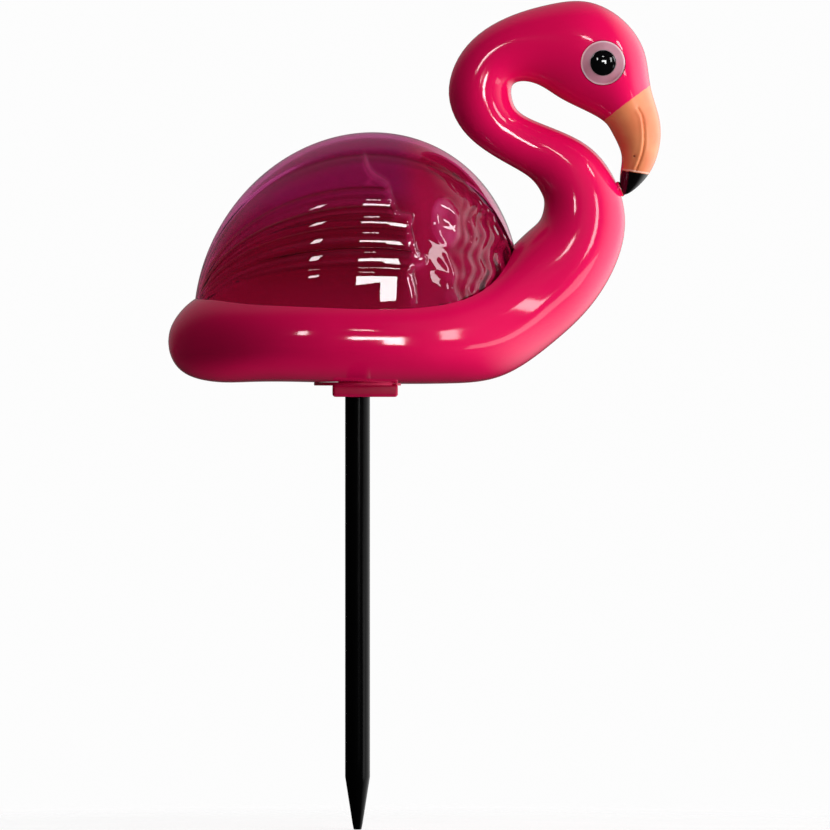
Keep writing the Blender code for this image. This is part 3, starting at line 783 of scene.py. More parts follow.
# %% [markdown]
# ## Pink gloss plastic, with a painted beak
# The bird is moulded in one deep pink. The beak is painted: orange with a black tip, and the paint leaves the
# beak's inner edge pink. A picture could hold these colours, but each border is only a line or a curve in the
# side view. So a mask is a sum of the x and z places, with a little noise for the uneven edge of real paint.

# %% Colours and borders of the bird
PINK = (0.80, 0.004, 0.098)
PINK_DEEP = (0.73, 0.003, 0.085)
BEAK_ORANGE = (0.82, 0.28, 0.115)
BEAK_WARM = (0.74, 0.20, 0.085)
BEAK_BLACK = (0.0015, 0.0015, 0.0015)
BEAK_RIM = (0.86, 0.58, 0.46)
PORE_COLOUR = (0.22, 0.04, 0.02)
PAINT_LINE = ((51.1, 54.2), (59.3, 60.5))
TIP_LINE = ((54.5, 43.2), (59.2, 42.5))
# The border of the pink inner edge: its place, its bend above that and its slant below
INNER_EDGE = (54.0, 44.0, 0.050, 0.35)
# The border towards the neck: its place and its slant
NECK_EDGE = (54.05, 38.3, 0.39)
PAINT_EDGE = 0.12
PAINT_UNEVEN = 0.3
PAINT_FOOT = (37.6, 37.9)
PORE_SPOT = (0.1, 0.3)
RIM_START = (0.05, 0.15)
RIM_END = (0.3, 0.5)
RIM_SHARE = 0.7
GLOSS = 0.06
PAINT_DULLER = 0.14
BLACK_GLOSSIER = 0.08


def side_percent(place):
    """x and z of a place in percent of the bird's length, as on_bird takes them."""
    return place.part("X") / SHARE, (place.part("Z") - BELLY_Z) / SHARE


def above_line(x, z, line):
    """How far a place lies above a slanted line, in percent."""
    (x0, z0), (x1, z1) = line
    length = math.hypot(x1 - x0, z1 - z0)
    return (z - z0) * ((x1 - x0) / length) - (x - x0) * ((z1 - z0) / length)


def from_spot(x, z, spot):
    """How far a place lies from a spot in the side view, in percent."""
    return ((x - spot[0]) ** 2.0 + (z - spot[1]) ** 2.0) ** 0.5


def beyond(border):
    """A paint mask: 0 before the border and 1 past it."""
    return border.clear_step(-PAINT_EDGE, PAINT_EDGE)


# %% Finish of the bird
def painted_beak(x, z, uneven):
    """Where the paint of the beak lies."""
    edge_x, edge_z, bend, slant = INNER_EDGE
    above = z.sum("MAXIMUM", z - edge_z, 0.0)
    under = z.sum("MAXIMUM", edge_z - z, 0.0)
    inner = x - edge_x + above * above * bend + under * slant + uneven
    neck_x, neck_z, neck_slant = NECK_EDGE
    off_neck = x - neck_x + (z - neck_z) * neck_slant
    beak = inner.sum("MINIMUM", inner, off_neck)
    below_head = 1 - beyond(above_line(x, z, PAINT_LINE) + uneven)
    return below_head * beyond(beak) * z.clear_step(*PAINT_FOOT)


def bird_finish():
    finish, place = new_finish("pink_gloss_plastic", {"IOR": 1.5})
    x, z = side_percent(place)
    uneven = (noise(place, 420.0) - 0.5) * PAINT_UNEVEN
    above_tip = above_line(x, z, TIP_LINE) + uneven
    painted = painted_beak(x, z, uneven)
    black = (1 - beyond(above_tip)) * painted
    orange = mottled(place, 60.0, BEAK_ORANGE, BEAK_WARM, 0.3)
    orange = (1 - from_spot(x, z, PORE[0]).clear_step(*PORE_SPOT)).blend(orange, PORE_COLOUR)
    rim = above_tip.clear_step(*RIM_START) * (1 - above_tip.clear_step(*RIM_END))
    orange = (rim * RIM_SHARE).blend(orange, BEAK_RIM)
    pink = mottled(place, 14.0, PINK, PINK_DEEP)
    colour = black.blend(painted.blend(pink, orange), BEAK_BLACK)
    roughness = GLOSS + noise(place, 35.0, 4.0) * 0.05 + painted * PAINT_DULLER - black * BLACK_GLOSSIER
    waves = bump(noise(place, 26.0, 1.0), 0.25, 0.0012)
    return vary(finish, colour, roughness, bump(noise(place, 900.0, 1.0), 0.04, 0.0002, waves))


# %% Cut and finish the bird
bird = show("bird_skin", skin_mesh, bird_finish())
cut(bird, web_mesh(), "UNION")
cut(bird, seat_mesh())
cut(bird, rim_trim_mesh())
cut(bird, cavity_mesh())
cut(bird, ledge_opening_mesh())
RECESS_TOP_Z = BELLY_Z - FLANGE_PROUD + FLANGE_THICKNESS + FIT_GAP
cut(bird, cylinder_mesh("flange_recess", FLANGE_DIAMETER + 2 * FIT_GAP, BELLY_Z - OVERSHOOT, RECESS_TOP_Z))
HOLE_TOP_Z = BELLY_Z + HULL_WALL + OVERSHOOT
cut(bird, cylinder_mesh("tower_hole", TOWER_DIAMETER + 2 * FIT_GAP, BELLY_Z - OVERSHOOT, HOLE_TOP_Z))
for side in (1, -1):
    eye_hole = cylinder_mesh("eye_socket", EYE_DIAMETER + 2 * FIT_GAP, 0.0, EYE_SINK + OVERSHOOT)
    eye_hole.transform(facing_side(side))
    cut(bird, eye_hole)
smooth(bird.data)
place_on_light(bird, "pink_gloss_plastic", "body")
print(f"bird after cutting: {triangles(bird.data)} triangles")

# %% [markdown]
# ## The wings on the dome
# The wings are relief in the dome's skin. A smooth crest band runs over the back and ends at a fine groove.
# Below it four long feathers lie side by side like reeds and run together at the tail, and the foot under
# them is smooth. They end in a raised bead with a scalloped line, and in front of it small wavy feathers
# cover the breast. All of it could be sculpted by hand. Here it is a sum of waves and bells, which can be
# read and changed, and it lies under the plain ellipsoid, so the dome keeps the solid's outline.

# %% Long feathers
WING_FOOT = math.radians(25.0)
WING_TOP = math.radians(60.0)
WING_FEATHERS = 4
WING_TAPER = 0.9
CREST_LINE = math.radians(73.0)
CREST_STEP = 0.0001
CREST_GROOVE = 0.0003
CREST_SOFT = math.radians(1.3)
FEATHER_DEPTH = 0.0010
FEATHER_SAG = 0.00030
FEATHER_ROUND = 3.0
BEAD_HEIGHT = 0.00065
BEAD_WIDTH = 0.0008
# The wing's front line in the side view from its foot upwards, in percent: each long feather ends in a hook
WING_FRONT = (
    (11.9, 16.6), (11.5, 20.0), (11.3, 23.2), (13.9, 25.2), (12.4, 26.2), (11.5, 28.0), (11.1, 30.2),
    (10.8, 32.3), (11.2, 33.9), (8.6, 34.8), (7.4, 36.8), (6.7, 38.8), (6.0, 40.9), (3.8, 42.4), (2.1, 44.4),
    (1.5, 47.8),
)
FRONT_SAMPLES = 220
TAIL_FADE = (-36.0, -6.0)
BREAST_END = (35.5, 32.0)
LAST_SHARE = 0.9999
# The width of all the feathers of a wing, with that of the lowest as the unit
FULL_WING = (1 - WING_TAPER**WING_FEATHERS) / (1 - WING_TAPER)


def feather_count(angle):
    """How far a place lies between the feathers: whole numbers are feather edges."""
    share = np.clip((angle - WING_FOOT) / (WING_TOP - WING_FOOT), 0.0, LAST_SHARE)
    return np.log(1 - share * FULL_WING * (1 - WING_TAPER)) / math.log(WING_TAPER)


def ahead_of_wing(skin):
    """How far points lie in front of the wing's front line in the side view, in metres."""
    signed, _ = beside_line(skin[..., [0, 2]].reshape(-1, 2), line_through(WING_FRONT, FRONT_SAMPLES))
    return -signed.reshape(skin.shape[:-1])


def below(limit, up):
    """1 below an angle on the dome and 0 above it, with a soft change."""
    return smoothstep(limit + CREST_SOFT, limit - CREST_SOFT, up)


print(f"{WING_FEATHERS} long feathers on each side")

# %% Small feathers of the breast
TEAR = (18.2, 32.8)
TEAR_SIZE = (2.5, 4.8)
TEAR_LEAN = 0.12
TEAR_RIM = (1.15, 0.85)
TEAR_BOWL = (0.8, 0.2)
TEAR_HOLLOW = 0.5
TEAR_HEIGHT = 0.00065
STEM_TOP = (18.5, 27.5)
STEM_LOW_END = (12.5, 14.5)
STEM_HIGH_END = (27.5, 24.5)
STEM_LEAN = 0.16
STEM_SWAY = 0.35
STEM_WIDTH = 0.55
STEM_HEIGHT = 0.0006
SWAY_TURN = 0.9
FLUTE_DEPTH = 0.00026
FLUTE_PITCH = 2.1
FLUTE_SWAY = 0.55
FLUTE_LEAN = 0.1
FLUTE_START = (20.5, 23.0)
FLUTE_TOP = (42.0, 36.0)
RIPPLE_DEPTH = 0.00018
RIPPLE_TURNS = (0.8, 1.5)
RIPPLE_START = (14.0, 19.0)
RIPPLE_TOP = (44.0, 36.0)


def breast_relief(x, z):
    """The drop-shaped feather, the stem below it and the wavy flutes in front of the wing, as depth."""
    sway = np.sin(SWAY_TURN * z)
    drop_x = (x - TEAR[0] + TEAR_LEAN * (z - TEAR[1])) / TEAR_SIZE[0]
    drop = np.hypot(drop_x, (z - TEAR[1]) / TEAR_SIZE[1])
    tear = smoothstep(*TEAR_RIM, drop) - TEAR_HOLLOW * smoothstep(*TEAR_BOWL, drop)
    off_stem = x - STEM_TOP[0] + STEM_LEAN * (z - STEM_TOP[1]) - STEM_SWAY * sway
    stem = bell(off_stem, STEM_WIDTH) * smoothstep(*STEM_LOW_END, z) * smoothstep(*STEM_HIGH_END, z)
    waves = np.sin(2 * np.pi * (x - FLUTE_SWAY * sway - FLUTE_LEAN * z) / FLUTE_PITCH)
    flutes = waves * smoothstep(*FLUTE_START, x) * smoothstep(*FLUTE_TOP, z)
    ripples = np.sin(RIPPLE_TURNS[1] * z + RIPPLE_TURNS[0] * x)
    ripples *= smoothstep(*RIPPLE_START, x) * smoothstep(*RIPPLE_TOP, z)
    return FLUTE_DEPTH * flutes + RIPPLE_DEPTH * ripples - TEAR_HEIGHT * tear - STEM_HEIGHT * stem


# %% [markdown]
# ## Depth and painted light
# The relief gives two things. The depth says how far the skin lies under the plain dome. The painted light
# says how pale or deep the tint is painted: raised edges, the bead and the raised breast feathers are painted
# pale as highlights, and the grooves, feather edges and sunken places are painted deep as shade, with fine
# stripes of both along the barbs. A see-through shader tints light only where it crosses a surface, so the
# mesh carries this painted light as a number at each point.

# %% Relief of the dome
BEAD_HIGHLIGHT_WIDTH = 1.5 * BEAD_WIDTH
FRONT_START = 3 * BEAD_WIDTH
BARBS = 2.6
BARB_SWAY = 0.4
BARB_SWAY_TURN = 3
BARB_START = (-36.0, -26.0)
BARB_PAINTED_LIGHT = 0.55
FRONT_PAINTED_LIGHT = 0.8


def dome_relief(skin, angle):
    """Depth under the plain dome in metres, and painted light: 1 is a painted highlight, -1 is painted shade.
    """
    up = np.minimum(angle, np.pi - angle)
    x = skin[..., 0] / SHARE
    z = (skin[..., 2] - BELLY_Z) / SHARE
    ahead = ahead_of_wing(skin)
    count = feather_count(up)
    across = count - np.floor(count)
    under_crest = below(CREST_LINE, up)
    on_wing = smoothstep(BEAD_WIDTH, -BEAD_WIDTH, ahead) * below(WING_TOP, up) * (1 - below(WING_FOOT, up))
    tail_share = smoothstep(*TAIL_FADE, x)
    breast_end = smoothstep(*BREAST_END, x)
    edges = np.abs(2 * across - 1) ** FEATHER_ROUND
    reed = edges * FEATHER_DEPTH + (1 - across) * FEATHER_SAG
    bead = BEAD_HEIGHT * bell(ahead, BEAD_WIDTH)
    front = breast_relief(x, z) * smoothstep(0.0, FRONT_START, ahead)
    groove = bell(up - CREST_LINE, CREST_SOFT) * tail_share * breast_end
    wing = (CREST_STEP + bead.max() + reed * on_wing - bead) * tail_share
    depth = CREST_GROOVE * groove + under_crest * (wing + front) * breast_end
    # Painted light: barb stripes, feather edges, the bead and the breast relief are painted pale as
    # highlights where raised and deep as shade in grooves and sunken places.
    barbs = np.sin(2 * np.pi * (BARBS * count + BARB_SWAY * np.sin(BARB_SWAY_TURN * count)))
    feathers = (BARB_PAINTED_LIGHT * barbs * smoothstep(*BARB_START, x) - edges * tail_share) * on_wing
    raised = bell(ahead, BEAD_HIGHLIGHT_WIDTH) - FRONT_PAINTED_LIGHT * front / TEAR_HEIGHT * breast_end
    painted_light = under_crest * (raised + feathers) - groove
    return depth, np.clip(painted_light, -1.0, 1.0)


def dome_depth(skin, angle):
    return dome_relief(skin, angle)[0]


# %% [markdown]
# ## The fine mesh of the dome
# The grid of the dome is denser where the relief is fine: its lines crowd at the edges of the feathers and
# along the wing's front. The inside of the wall follows the outside half as deeply, as the photograph's
# doubled bright lines show: each edge mirrors the light once on either side of the wall.

# %% Lines of the dome's grid
FOOT_LINES = 12
FEATHER_LINES = 16
SHOULDER_LINES = 10
GROOVE_LINES = 9
CREST_LINES = 8
TURN_LINES = 220
EVEN_TURNS = 2000
FRONT_DENSER = 2.6
FRONT_RISE = (1.45, 1.6)
FRONT_FALL = (2.25, 2.1)
BREAST_DENSER = 0.9
BREAST_RISE = (2.0, 2.2)


def dome_angles():
    """Angles from one foot over the back to the other, crowded at the edges of the feathers."""
    half = list(np.linspace(0.0, WING_FOOT, FOOT_LINES, endpoint=False))
    for feather in range(WING_FEATHERS):
        for k in range(FEATHER_LINES):
            count = feather + (1 - math.cos(math.pi * k / FEATHER_LINES)) / 2
            share = (1 - WING_TAPER**count) / (1 - WING_TAPER) / FULL_WING
            half.append(WING_FOOT + (WING_TOP - WING_FOOT) * share)
    low, high = CREST_LINE - 3 * CREST_SOFT, CREST_LINE + 3 * CREST_SOFT
    for start, end, lines in (
        (WING_TOP, low, SHOULDER_LINES), (low, high, GROOVE_LINES), (high, np.pi / 2, CREST_LINES)
    ):
        half.extend(np.linspace(start, end, lines, endpoint=False))
    half = np.array(half)
    return np.concatenate([half, [np.pi / 2], np.pi - half[::-1]])


def dome_turns():
    """Turns from tail to breast, crowded where the wing's front edge and the breast feathers lie."""
    even = np.linspace(0.0, np.pi, EVEN_TURNS)
    weight = 1 + FRONT_DENSER * smoothstep(*FRONT_RISE, even) * smoothstep(*FRONT_FALL, even)
    weight += BREAST_DENSER * smoothstep(*BREAST_RISE, even)
    total = np.concatenate([[0.0], np.cumsum((weight[1:] + weight[:-1]) / 2)])
    return np.interp(np.linspace(0.0, total[-1], TURN_LINES), total, even)


print(f"the dome's grid has {len(dome_angles())} by {len(dome_turns())} lines")

# %% Dome
INSIDE_SHARE = 0.5
DOME_FLOOR_Z = LEDGE_Z + FIT_GAP


def inside_depth(skin, angle):
    return dome_depth(skin, angle) * INSIDE_SHARE


def dome_light_and_shade(turns, angles):
    """The painted light and shade at each point of one skin, and none at its two pointed ends."""
    plain = Dome(0.0, DOME_FLOOR_Z).points(turns[1:-1], angles)
    painted_light_values = dome_relief(plain, np.meshgrid(turns[1:-1], angles)[1])[1]
    return [*painted_light_values.ravel(), 0.0, 0.0]


def dome_mesh():
    """Outside, inside and the level foot between them, with the painted light and shade at every point."""
    turns, angles = dome_turns(), dome_angles()
    outer, faces, outer_foot = dome_grid(Dome(0.0, DOME_FLOOR_Z), turns, angles, dome_depth)
    inner, inner_faces, inner_foot = dome_grid(Dome(-DOME_WALL, DOME_FLOOR_Z), turns, angles, inside_depth)
    start = len(outer)
    faces += [tuple(i + start for i in face) for face in inner_faces]
    foot = [(outside, inside + start) for outside, inside in zip(outer_foot, inner_foot)]
    for (outside, inside), (next_outside, next_inside) in zip(foot, foot[1:] + foot[:1]):
        faces.append((outside, next_outside, next_inside, inside))
    mesh = mesh_from("wing_dome", np.vstack([outer, inner]), faces)
    painted_light = mesh.attributes.new("painted_light", "FLOAT", "POINT")
    painted_light.data.foreach_set("value", dome_light_and_shade(turns, angles) * 2)
    return mesh


# %% [markdown]
# ## See-through magenta plastic
# The dome lets light through and tints it. Its colour turns from crimson near the hull to a cooler purple at
# the crest; the crimson is partly the dome's own tint and partly a painted reflection of the pink hull below.
# The breast end is painted lighter, partly its own tint and partly painted light from the right. How clear it
# is and how it bends light are plain values on the shader. Only the tint varies, and the painted light that
# the mesh carries adds painted highlights on raised edges and painted shade along the grooves.

# %% Finish of the dome
TINT_CREST = (0.44, 0.050, 0.22)
TINT_WING = (0.36, 0.018, 0.080)
TINT_FOOT_AND_HULL_REFLECTION = (0.44, 0.026, 0.115)
TINT_BREAST_AND_PAINTED_LIGHT = (0.58, 0.045, 0.19)
# Colours of the painted highlight and the painted shade on the relief.
TINT_PAINTED_HIGHLIGHT = (0.82, 0.28, 0.50)
TINT_PAINTED_SHADE = (0.20, 0.006, 0.035)
CREST_BEND = 0.014
CLOUD_SIZE = 6.0
FOOT_REFLECTION_FADE = (16.0, 24.0)
CREST_FADE = (34.0, 43.0)
BREAST_LIGHT_FADE = (7.0, 14.0)
STREAK_GRAIN = (8.0, 40.0, 55.0)
STREAK_SHARE = 0.35
PAINTED_HIGHLIGHT_SHARE = 0.65
PAINTED_SHADE_SHARE = 0.6


def dome_finish():
    finish, place = new_finish("see_through_magenta", {"IOR": 1.49, "Transmission Weight": 0.96})
    x, z = side_percent(place)
    cloud = (noise(place, 18.0) - 0.5) * CLOUD_SIZE
    # Near the hull the tint is crimson: partly the dome's own graded tint, partly a painted reflection of the
    # pink hull below.
    wing = (z + cloud).clear_step(*FOOT_REFLECTION_FADE).blend(TINT_FOOT_AND_HULL_REFLECTION, TINT_WING)
    height = z + x * x * CREST_BEND + cloud
    tint = height.clear_step(*CREST_FADE).blend(wing, TINT_CREST)
    # The breast end is painted lighter: partly its own tint, partly painted light from the lamps on the
    # right.
    tint = (x + cloud * 0.3).clear_step(*BREAST_LIGHT_FADE).blend(tint, TINT_BREAST_AND_PAINTED_LIGHT)
    streaks = noise(place * STREAK_GRAIN, 1.0, 3.0).clear_step(0.35, 0.75)
    tint = (streaks * STREAK_SHARE).blend(tint, TINT_WING)
    # The relief's painted light: paler as a painted highlight on raised edges, deeper as painted shade along
    # grooves.
    painted_light = place.node("ShaderNodeAttribute", {"attribute_name": "painted_light"}, output="Fac")
    tint = (painted_light.clear_step(0.0, 1.0) * PAINTED_HIGHLIGHT_SHARE).blend(tint, TINT_PAINTED_HIGHLIGHT)
    tint = ((0 - painted_light).clear_step(0.0, 1.0) * PAINTED_SHADE_SHARE).blend(tint, TINT_PAINTED_SHADE)
    roughness = 0.008 + noise(place, 40.0, 3.0) * 0.02
    return vary(finish, tint, roughness, bump(noise(place, 34.0, 1.5), 0.2, 0.001))


dome = show("wing_dome", dome_mesh(), dome_finish(), sharp=60.0)
place_on_light(dome, "dome_magenta", "dome")

# %% [markdown]
# ## Turned pieces
# The eyes, the flange and the stake are round about an axis. Such a piece is a profile of a few points, which
# is turned about Z, as on a lathe. A rounded edge is an arc in the profile.

# %% Turning a profile
TURNED_SIDES = 96
STAKE_SIDES = 64


def turned_mesh(name, profile, around=TURNED_SIDES):
    """A profile of (radius, height) points from the top middle to the bottom middle, turned about Z."""
    rings = np.array(profile[1:-1])
    angles = 2 * np.pi * np.arange(around) / around
    x = rings[:, None, 0] * np.cos(angles)
    y = rings[:, None, 0] * np.sin(angles)
    z = np.broadcast_to(rings[:, None, 1], x.shape)
    points = np.stack([x, y, z], axis=-1).reshape(-1, 3)
    faces = grid_faces(len(rings), around, closed=True)
    top, bottom = len(points), len(points) + 1
    last = (len(rings) - 1) * around
    faces += [(i, (i + 1) % around, top) for i in range(around)]
    faces += [(last + i, last + (i + 1) % around, bottom) for i in range(around)]
    ends = [(0.0, 0.0, profile[0][1]), (0.0, 0.0, profile[-1][1])]
    return mesh_from(name, np.vstack([points, ends]), faces)


def rounded(corner_radius, corner_height, fillet, steps=6):
    """A quarter circle at the outer top corner of a profile, from its top to its side."""
    turns = [math.pi / 2 * k / steps for k in range(steps + 1)]
    return [
        (corner_radius - fillet + fillet * math.sin(t), corner_height - fillet + fillet * math.cos(t))
        for t in turns
    ]


def crown(radius, rim_height, crown_height, pieces=14):
    """A low domed face, from its middle to its rim."""
    shares = [i / pieces for i in range(pieces + 1)]
    return [(radius * s, rim_height + crown_height * (1 - s * s)) for s in shares]


# %% [markdown]
# ## Eyes
# Each eye is a satin white button with a pink cast, let into the head. A low, glossy black bead is let into
# the button as its pupil.

# %% Eyes
EYE_CROWN = 0.0018
EYE_EDGE = 0.00025
EYE_PALE = (0.52, 0.22, 0.29)
EYE_SHADE = (0.44, 0.16, 0.22)
# The paler rim is a painted highlight, where the button's rounded edge would catch the light.
EYE_RIM_HIGHLIGHT = (0.80, 0.52, 0.58)
EYE_RIM_HIGHLIGHT_RING = (4.0, 4.4)
PUPIL_BLACK = (0.0010, 0.0010, 0.0012)
PUPIL_GLINT = (0.0025, 0.0020, 0.0028)
PUPIL_DIAMETER = 0.0122
PUPIL_SINK = 0.0012
PUPIL_CROWN = 0.0015
PUPIL_EDGE = 0.0003


def eye_profile():
    rim = EYE_SINK - EYE_CROWN
    radius = EYE_DIAMETER / 2
    seat_radius = PUPIL_DIAMETER / 2 + FIT_GAP
    seat_z = rim + EYE_CROWN - PUPIL_SINK
    face = [point for point in crown(radius - EYE_EDGE, rim, EYE_CROWN) if point[0] > seat_radius]
    lip_z = rim + EYE_CROWN * (1 - (seat_radius / (radius - EYE_EDGE)) ** 2)
    profile = [(0.0, seat_z), (seat_radius, seat_z), (seat_radius, lip_z), *face]
    profile += rounded(radius, rim, EYE_EDGE)[1:]
    return [*profile, (radius, FIT_GAP), (0.0, FIT_GAP)]


def pupil_profile():
    rim = EYE_SINK
    seat_z = EYE_SINK - PUPIL_SINK + FIT_GAP
    radius = PUPIL_DIAMETER / 2
    face = crown(radius - PUPIL_EDGE, rim, PUPIL_CROWN)
    return [*face, *rounded(radius, rim, PUPIL_EDGE)[1:], (radius, seat_z), (0.0, seat_z)]


# %% Finishes and pieces of the eyes
def eye_finish():
    plain = {"IOR": 1.5, "Subsurface Weight": 0.15, "Subsurface Scale": 0.002}
    finish, place = new_finish("eye_white_plastic", plain)
    # A paler ring at the button's edge is painted on as a highlight.
    rim = from_spot(*side_percent(place), EYE_CENTRE).clear_step(*EYE_RIM_HIGHLIGHT_RING)
    colour = rim.blend(mottled(place, 120.0, EYE_PALE, EYE_SHADE, 0.3), EYE_RIM_HIGHLIGHT)
    roughness = 0.30 + noise(place, 200.0) * 0.12
    return vary(finish, colour, roughness, bump(noise(place, 700.0), 0.08, 0.0003))


def pupil_finish():
    finish, place = new_finish("pupil_gloss_black", {"IOR": 1.52})
    black = noise(place, 90.0).blend(PUPIL_BLACK, PUPIL_GLINT)
    return vary(finish, black, 0.03 + noise(place, 150.0) * 0.03, bump(noise(place, 260.0), 0.12, 0.0004))


EYE_PARTS = (
    ("eye_button_", eye_profile(), eye_finish(), "eye_white", "eye_white_"),
    ("pupil_bead_", pupil_profile(), pupil_finish(), "pupil_black", "pupil_"),
)
for name, side in (("left", 1), ("right", -1)):
    for piece, profile, finish, slot, node in EYE_PARTS:
        mesh = turned_mesh(piece + name, profile)
        mesh.transform(facing_side(side))
        place_on_light(show(piece + name, mesh, finish), slot, node + name)

# %% [markdown]
# ## Socket
# A thin flange lies against the belly. Below it is a block with rounded edges, and inside the hull a tower.
# The bore through the block takes the stake. The socket is the same pink, but it is less polished.

# %% Socket
BOSS_LENGTH = 0.0315
BOSS_WIDTH = 0.026
BOSS_AHEAD = 0.0037
BOSS_ROUNDING = 0.0015
FLANGE_ROUNDING = 0.0004
FLANGE_FLOOR_Z = BOSS_FLOOR_Z + BOSS_DROP
FLANGE_TOP_Z = FLANGE_FLOOR_Z + FLANGE_THICKNESS
FLANGE_MIDDLE_Z = (FLANGE_FLOOR_Z + FLANGE_TOP_Z) / 2
TOWER_TOP_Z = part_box("socket")[1][2]
STAKE_TOP_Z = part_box("stake")[1][2]
SOCKET_PINK = (0.58, 0.006, 0.075)
SOCKET_SHADE = (0.48, 0.005, 0.060)


def socket_finish():
    finish, place = new_finish("satin_pink_plastic", {"IOR": 1.5, "Specular IOR Level": 0.12})
    pink = mottled(place, 60.0, SOCKET_PINK, SOCKET_SHADE)
    roughness = 0.28 + noise(place, 180.0, 3.0) * 0.15
    return vary(finish, pink, roughness, bump(noise(place, 800.0), 0.10, 0.0003))


def flange_profile():
    upper = [(0.0, FLANGE_TOP_Z), *rounded(FLANGE_DIAMETER / 2, FLANGE_TOP_Z, FLANGE_ROUNDING)]
    return upper + [(r, 2 * FLANGE_MIDDLE_Z - z) for r, z in reversed(upper)]


def tower_profile():
    radius = TOWER_DIAMETER / 2
    upper = [(0.0, TOWER_TOP_Z), *rounded(radius, TOWER_TOP_Z, FLANGE_ROUNDING)]
    return [*upper, (radius, FLANGE_MIDDLE_Z), (0.0, FLANGE_MIDDLE_Z)]


def boss_mesh():
    half = Vector((BOSS_LENGTH / 2, BOSS_WIDTH / 2, 0.0))
    low = Vector((BOSS_AHEAD, 0.0, BOSS_FLOOR_Z)) - half
    high = Vector((BOSS_AHEAD, 0.0, FLANGE_MIDDLE_Z)) + half
    bm = box_bmesh(low, high)
    edges = list(bm.edges)
    bmesh.ops.bevel(bm, geom=edges, offset=BOSS_ROUNDING, segments=6, affect="EDGES", profile=0.5)
    return mesh_of("boss", bm)


socket = show("pink_socket", turned_mesh("pink_socket", flange_profile()), socket_finish())
cut(socket, turned_mesh("tower", tower_profile()), "UNION")
cut(socket, boss_mesh(), "UNION")
BORE_DIAMETER = STAKE_DIAMETER + 2 * STAKE_GAP
BORE_TOP_Z = STAKE_TOP_Z + STAKE_GAP
cut(socket, cylinder_mesh("stake_bore", BORE_DIAMETER, BOSS_FLOOR_Z - OVERSHOOT, BORE_TOP_Z))
smooth(socket.data, 30.0)
place_on_light(socket, "socket_pink", "socket")

# %% [markdown]
# ## Stake
# The stake is a black plastic rod with a long tapered point. Fine streaks run along it from the mould: they
# are noise that is stretched fifty times along Z.

# %% Stake
STAKE_POINT = 0.0255
STAKE_TIP_DIAMETER = 0.004
STAKE_TOP_BEVEL = 0.0008
TIP_ROUNDING = 0.0006
STAKE_RINGS = 24
CONE_RINGS = 8
ALONG_STAKE = (1.0, 1.0, 0.02)
STAKE_BLACK = (0.0006, 0.0006, 0.0007)
STAKE_STREAK = (0.0020, 0.0020, 0.0022)


def stake_finish():
    finish, place = new_finish("satin_black_plastic", {"IOR": 1.5, "Specular IOR Level": 0.1})
    streaks = noise(place * ALONG_STAKE, 1500.0, 3.0)
    roughness = 0.12 + streaks * 0.05 + noise(place, 50.0, 4.0) * 0.04
    return vary(finish, streaks.blend(STAKE_BLACK, STAKE_STREAK), roughness, bump(streaks, 0.10, 0.0003))


def stake_profile():
    """Shaft, cone and rounded point, from the top middle to the bottom middle."""
    radius, tip = STAKE_DIAMETER / 2, STAKE_TIP_DIAMETER / 2
    top = rounded(radius, STAKE_TOP_Z, STAKE_TOP_BEVEL)
    shoulder_z = STAKE_TOP_Z - STAKE_TOP_BEVEL
    step = (shoulder_z - STAKE_POINT) / STAKE_RINGS
    shaft = [(radius, shoulder_z - step * k) for k in range(1, STAKE_RINGS + 1)]
    shares = [k / CONE_RINGS for k in range(1, CONE_RINGS)]
    cone = [(radius + (tip - radius) * share, STAKE_POINT * (1 - share)) for share in shares]
    point = [(r, -z) for r, z in reversed(rounded(tip, 0.0, TIP_ROUNDING, 5))]
    return [(0.0, STAKE_TOP_Z), *top, *shaft, *cone, *point, (0.0, 0.0)]


stake = show("black_stake", turned_mesh("black_stake", stake_profile(), STAKE_SIDES), stake_finish())
place_on_light(stake, "stake_black", "stake")

# %% [markdown]
# ## Floor
# A pale disc carries the stake's point. It fades out into the surround, so no horizon shows, and it glows a
# little, so that it is as pale as the surround where no shadow falls on it.

# %% Floor
FLOOR_RADIUS = 1.0
FLOOR_FADE = (0.06, 0.45)
FLOOR_THICKNESS = 0.01
FLOOR_GREY = 0.45
FLOOR_SHADE = 0.97
FLOOR_GLOW = 0.64
WHITE = (1.0, 1.0, 1.0, 1.0)


def floor_finish():
    plain = {"Roughness": 0.7, "Emission Color": WHITE, "Emission Strength": FLOOR_GLOW}
    finish, place = new_finish("pale_floor", plain)
    tree = place.tree
    shader = tree.nodes["Principled BSDF"]
    grain = noise(place, 60.0, 3.0).blend((FLOOR_GREY,) * 3, (FLOOR_GREY * FLOOR_SHADE,) * 3)
    fill(tree, shader.inputs["Base Color"], grain)
    radius = place.node("ShaderNodeVectorMath", {"operation": "LENGTH"}, {0: place}, output=1)
    clear = place.node("ShaderNodeBsdfTransparent")
    inputs = {0: radius.clear_step(*FLOOR_FADE), 1: Flow(tree, shader.outputs[0]), 2: clear}
    faded = place.node("ShaderNodeMixShader", None, inputs)
    fill(tree, tree.nodes["Material Output"].inputs["Surface"], faded)
    return finish


floor_mesh = cylinder_mesh("floor", 2 * FLOOR_RADIUS, -FLOOR_THICKNESS, 0.0)
floor_mesh.materials.append(floor_finish())
floor = bpy.data.objects.new("floor", floor_mesh)
scene.collection.objects.link(floor)
floor.visible_glossy = False
floor.visible_diffuse = False

# %% [markdown]
# ## Surround
# A glossy thing shows what stands round it, so the surround is more than one grey. It is pale where the
# camera looks at it or through the dome, soft patches of it light the matt colour, and other soft patches are
# mirrored in the gloss. A ray's kind tells the three apart, and nothing asks where the camera stands.

# %% Surround
SEEN = 0.98
DIM = 0.05
MIRRORED_DIM = 0.02
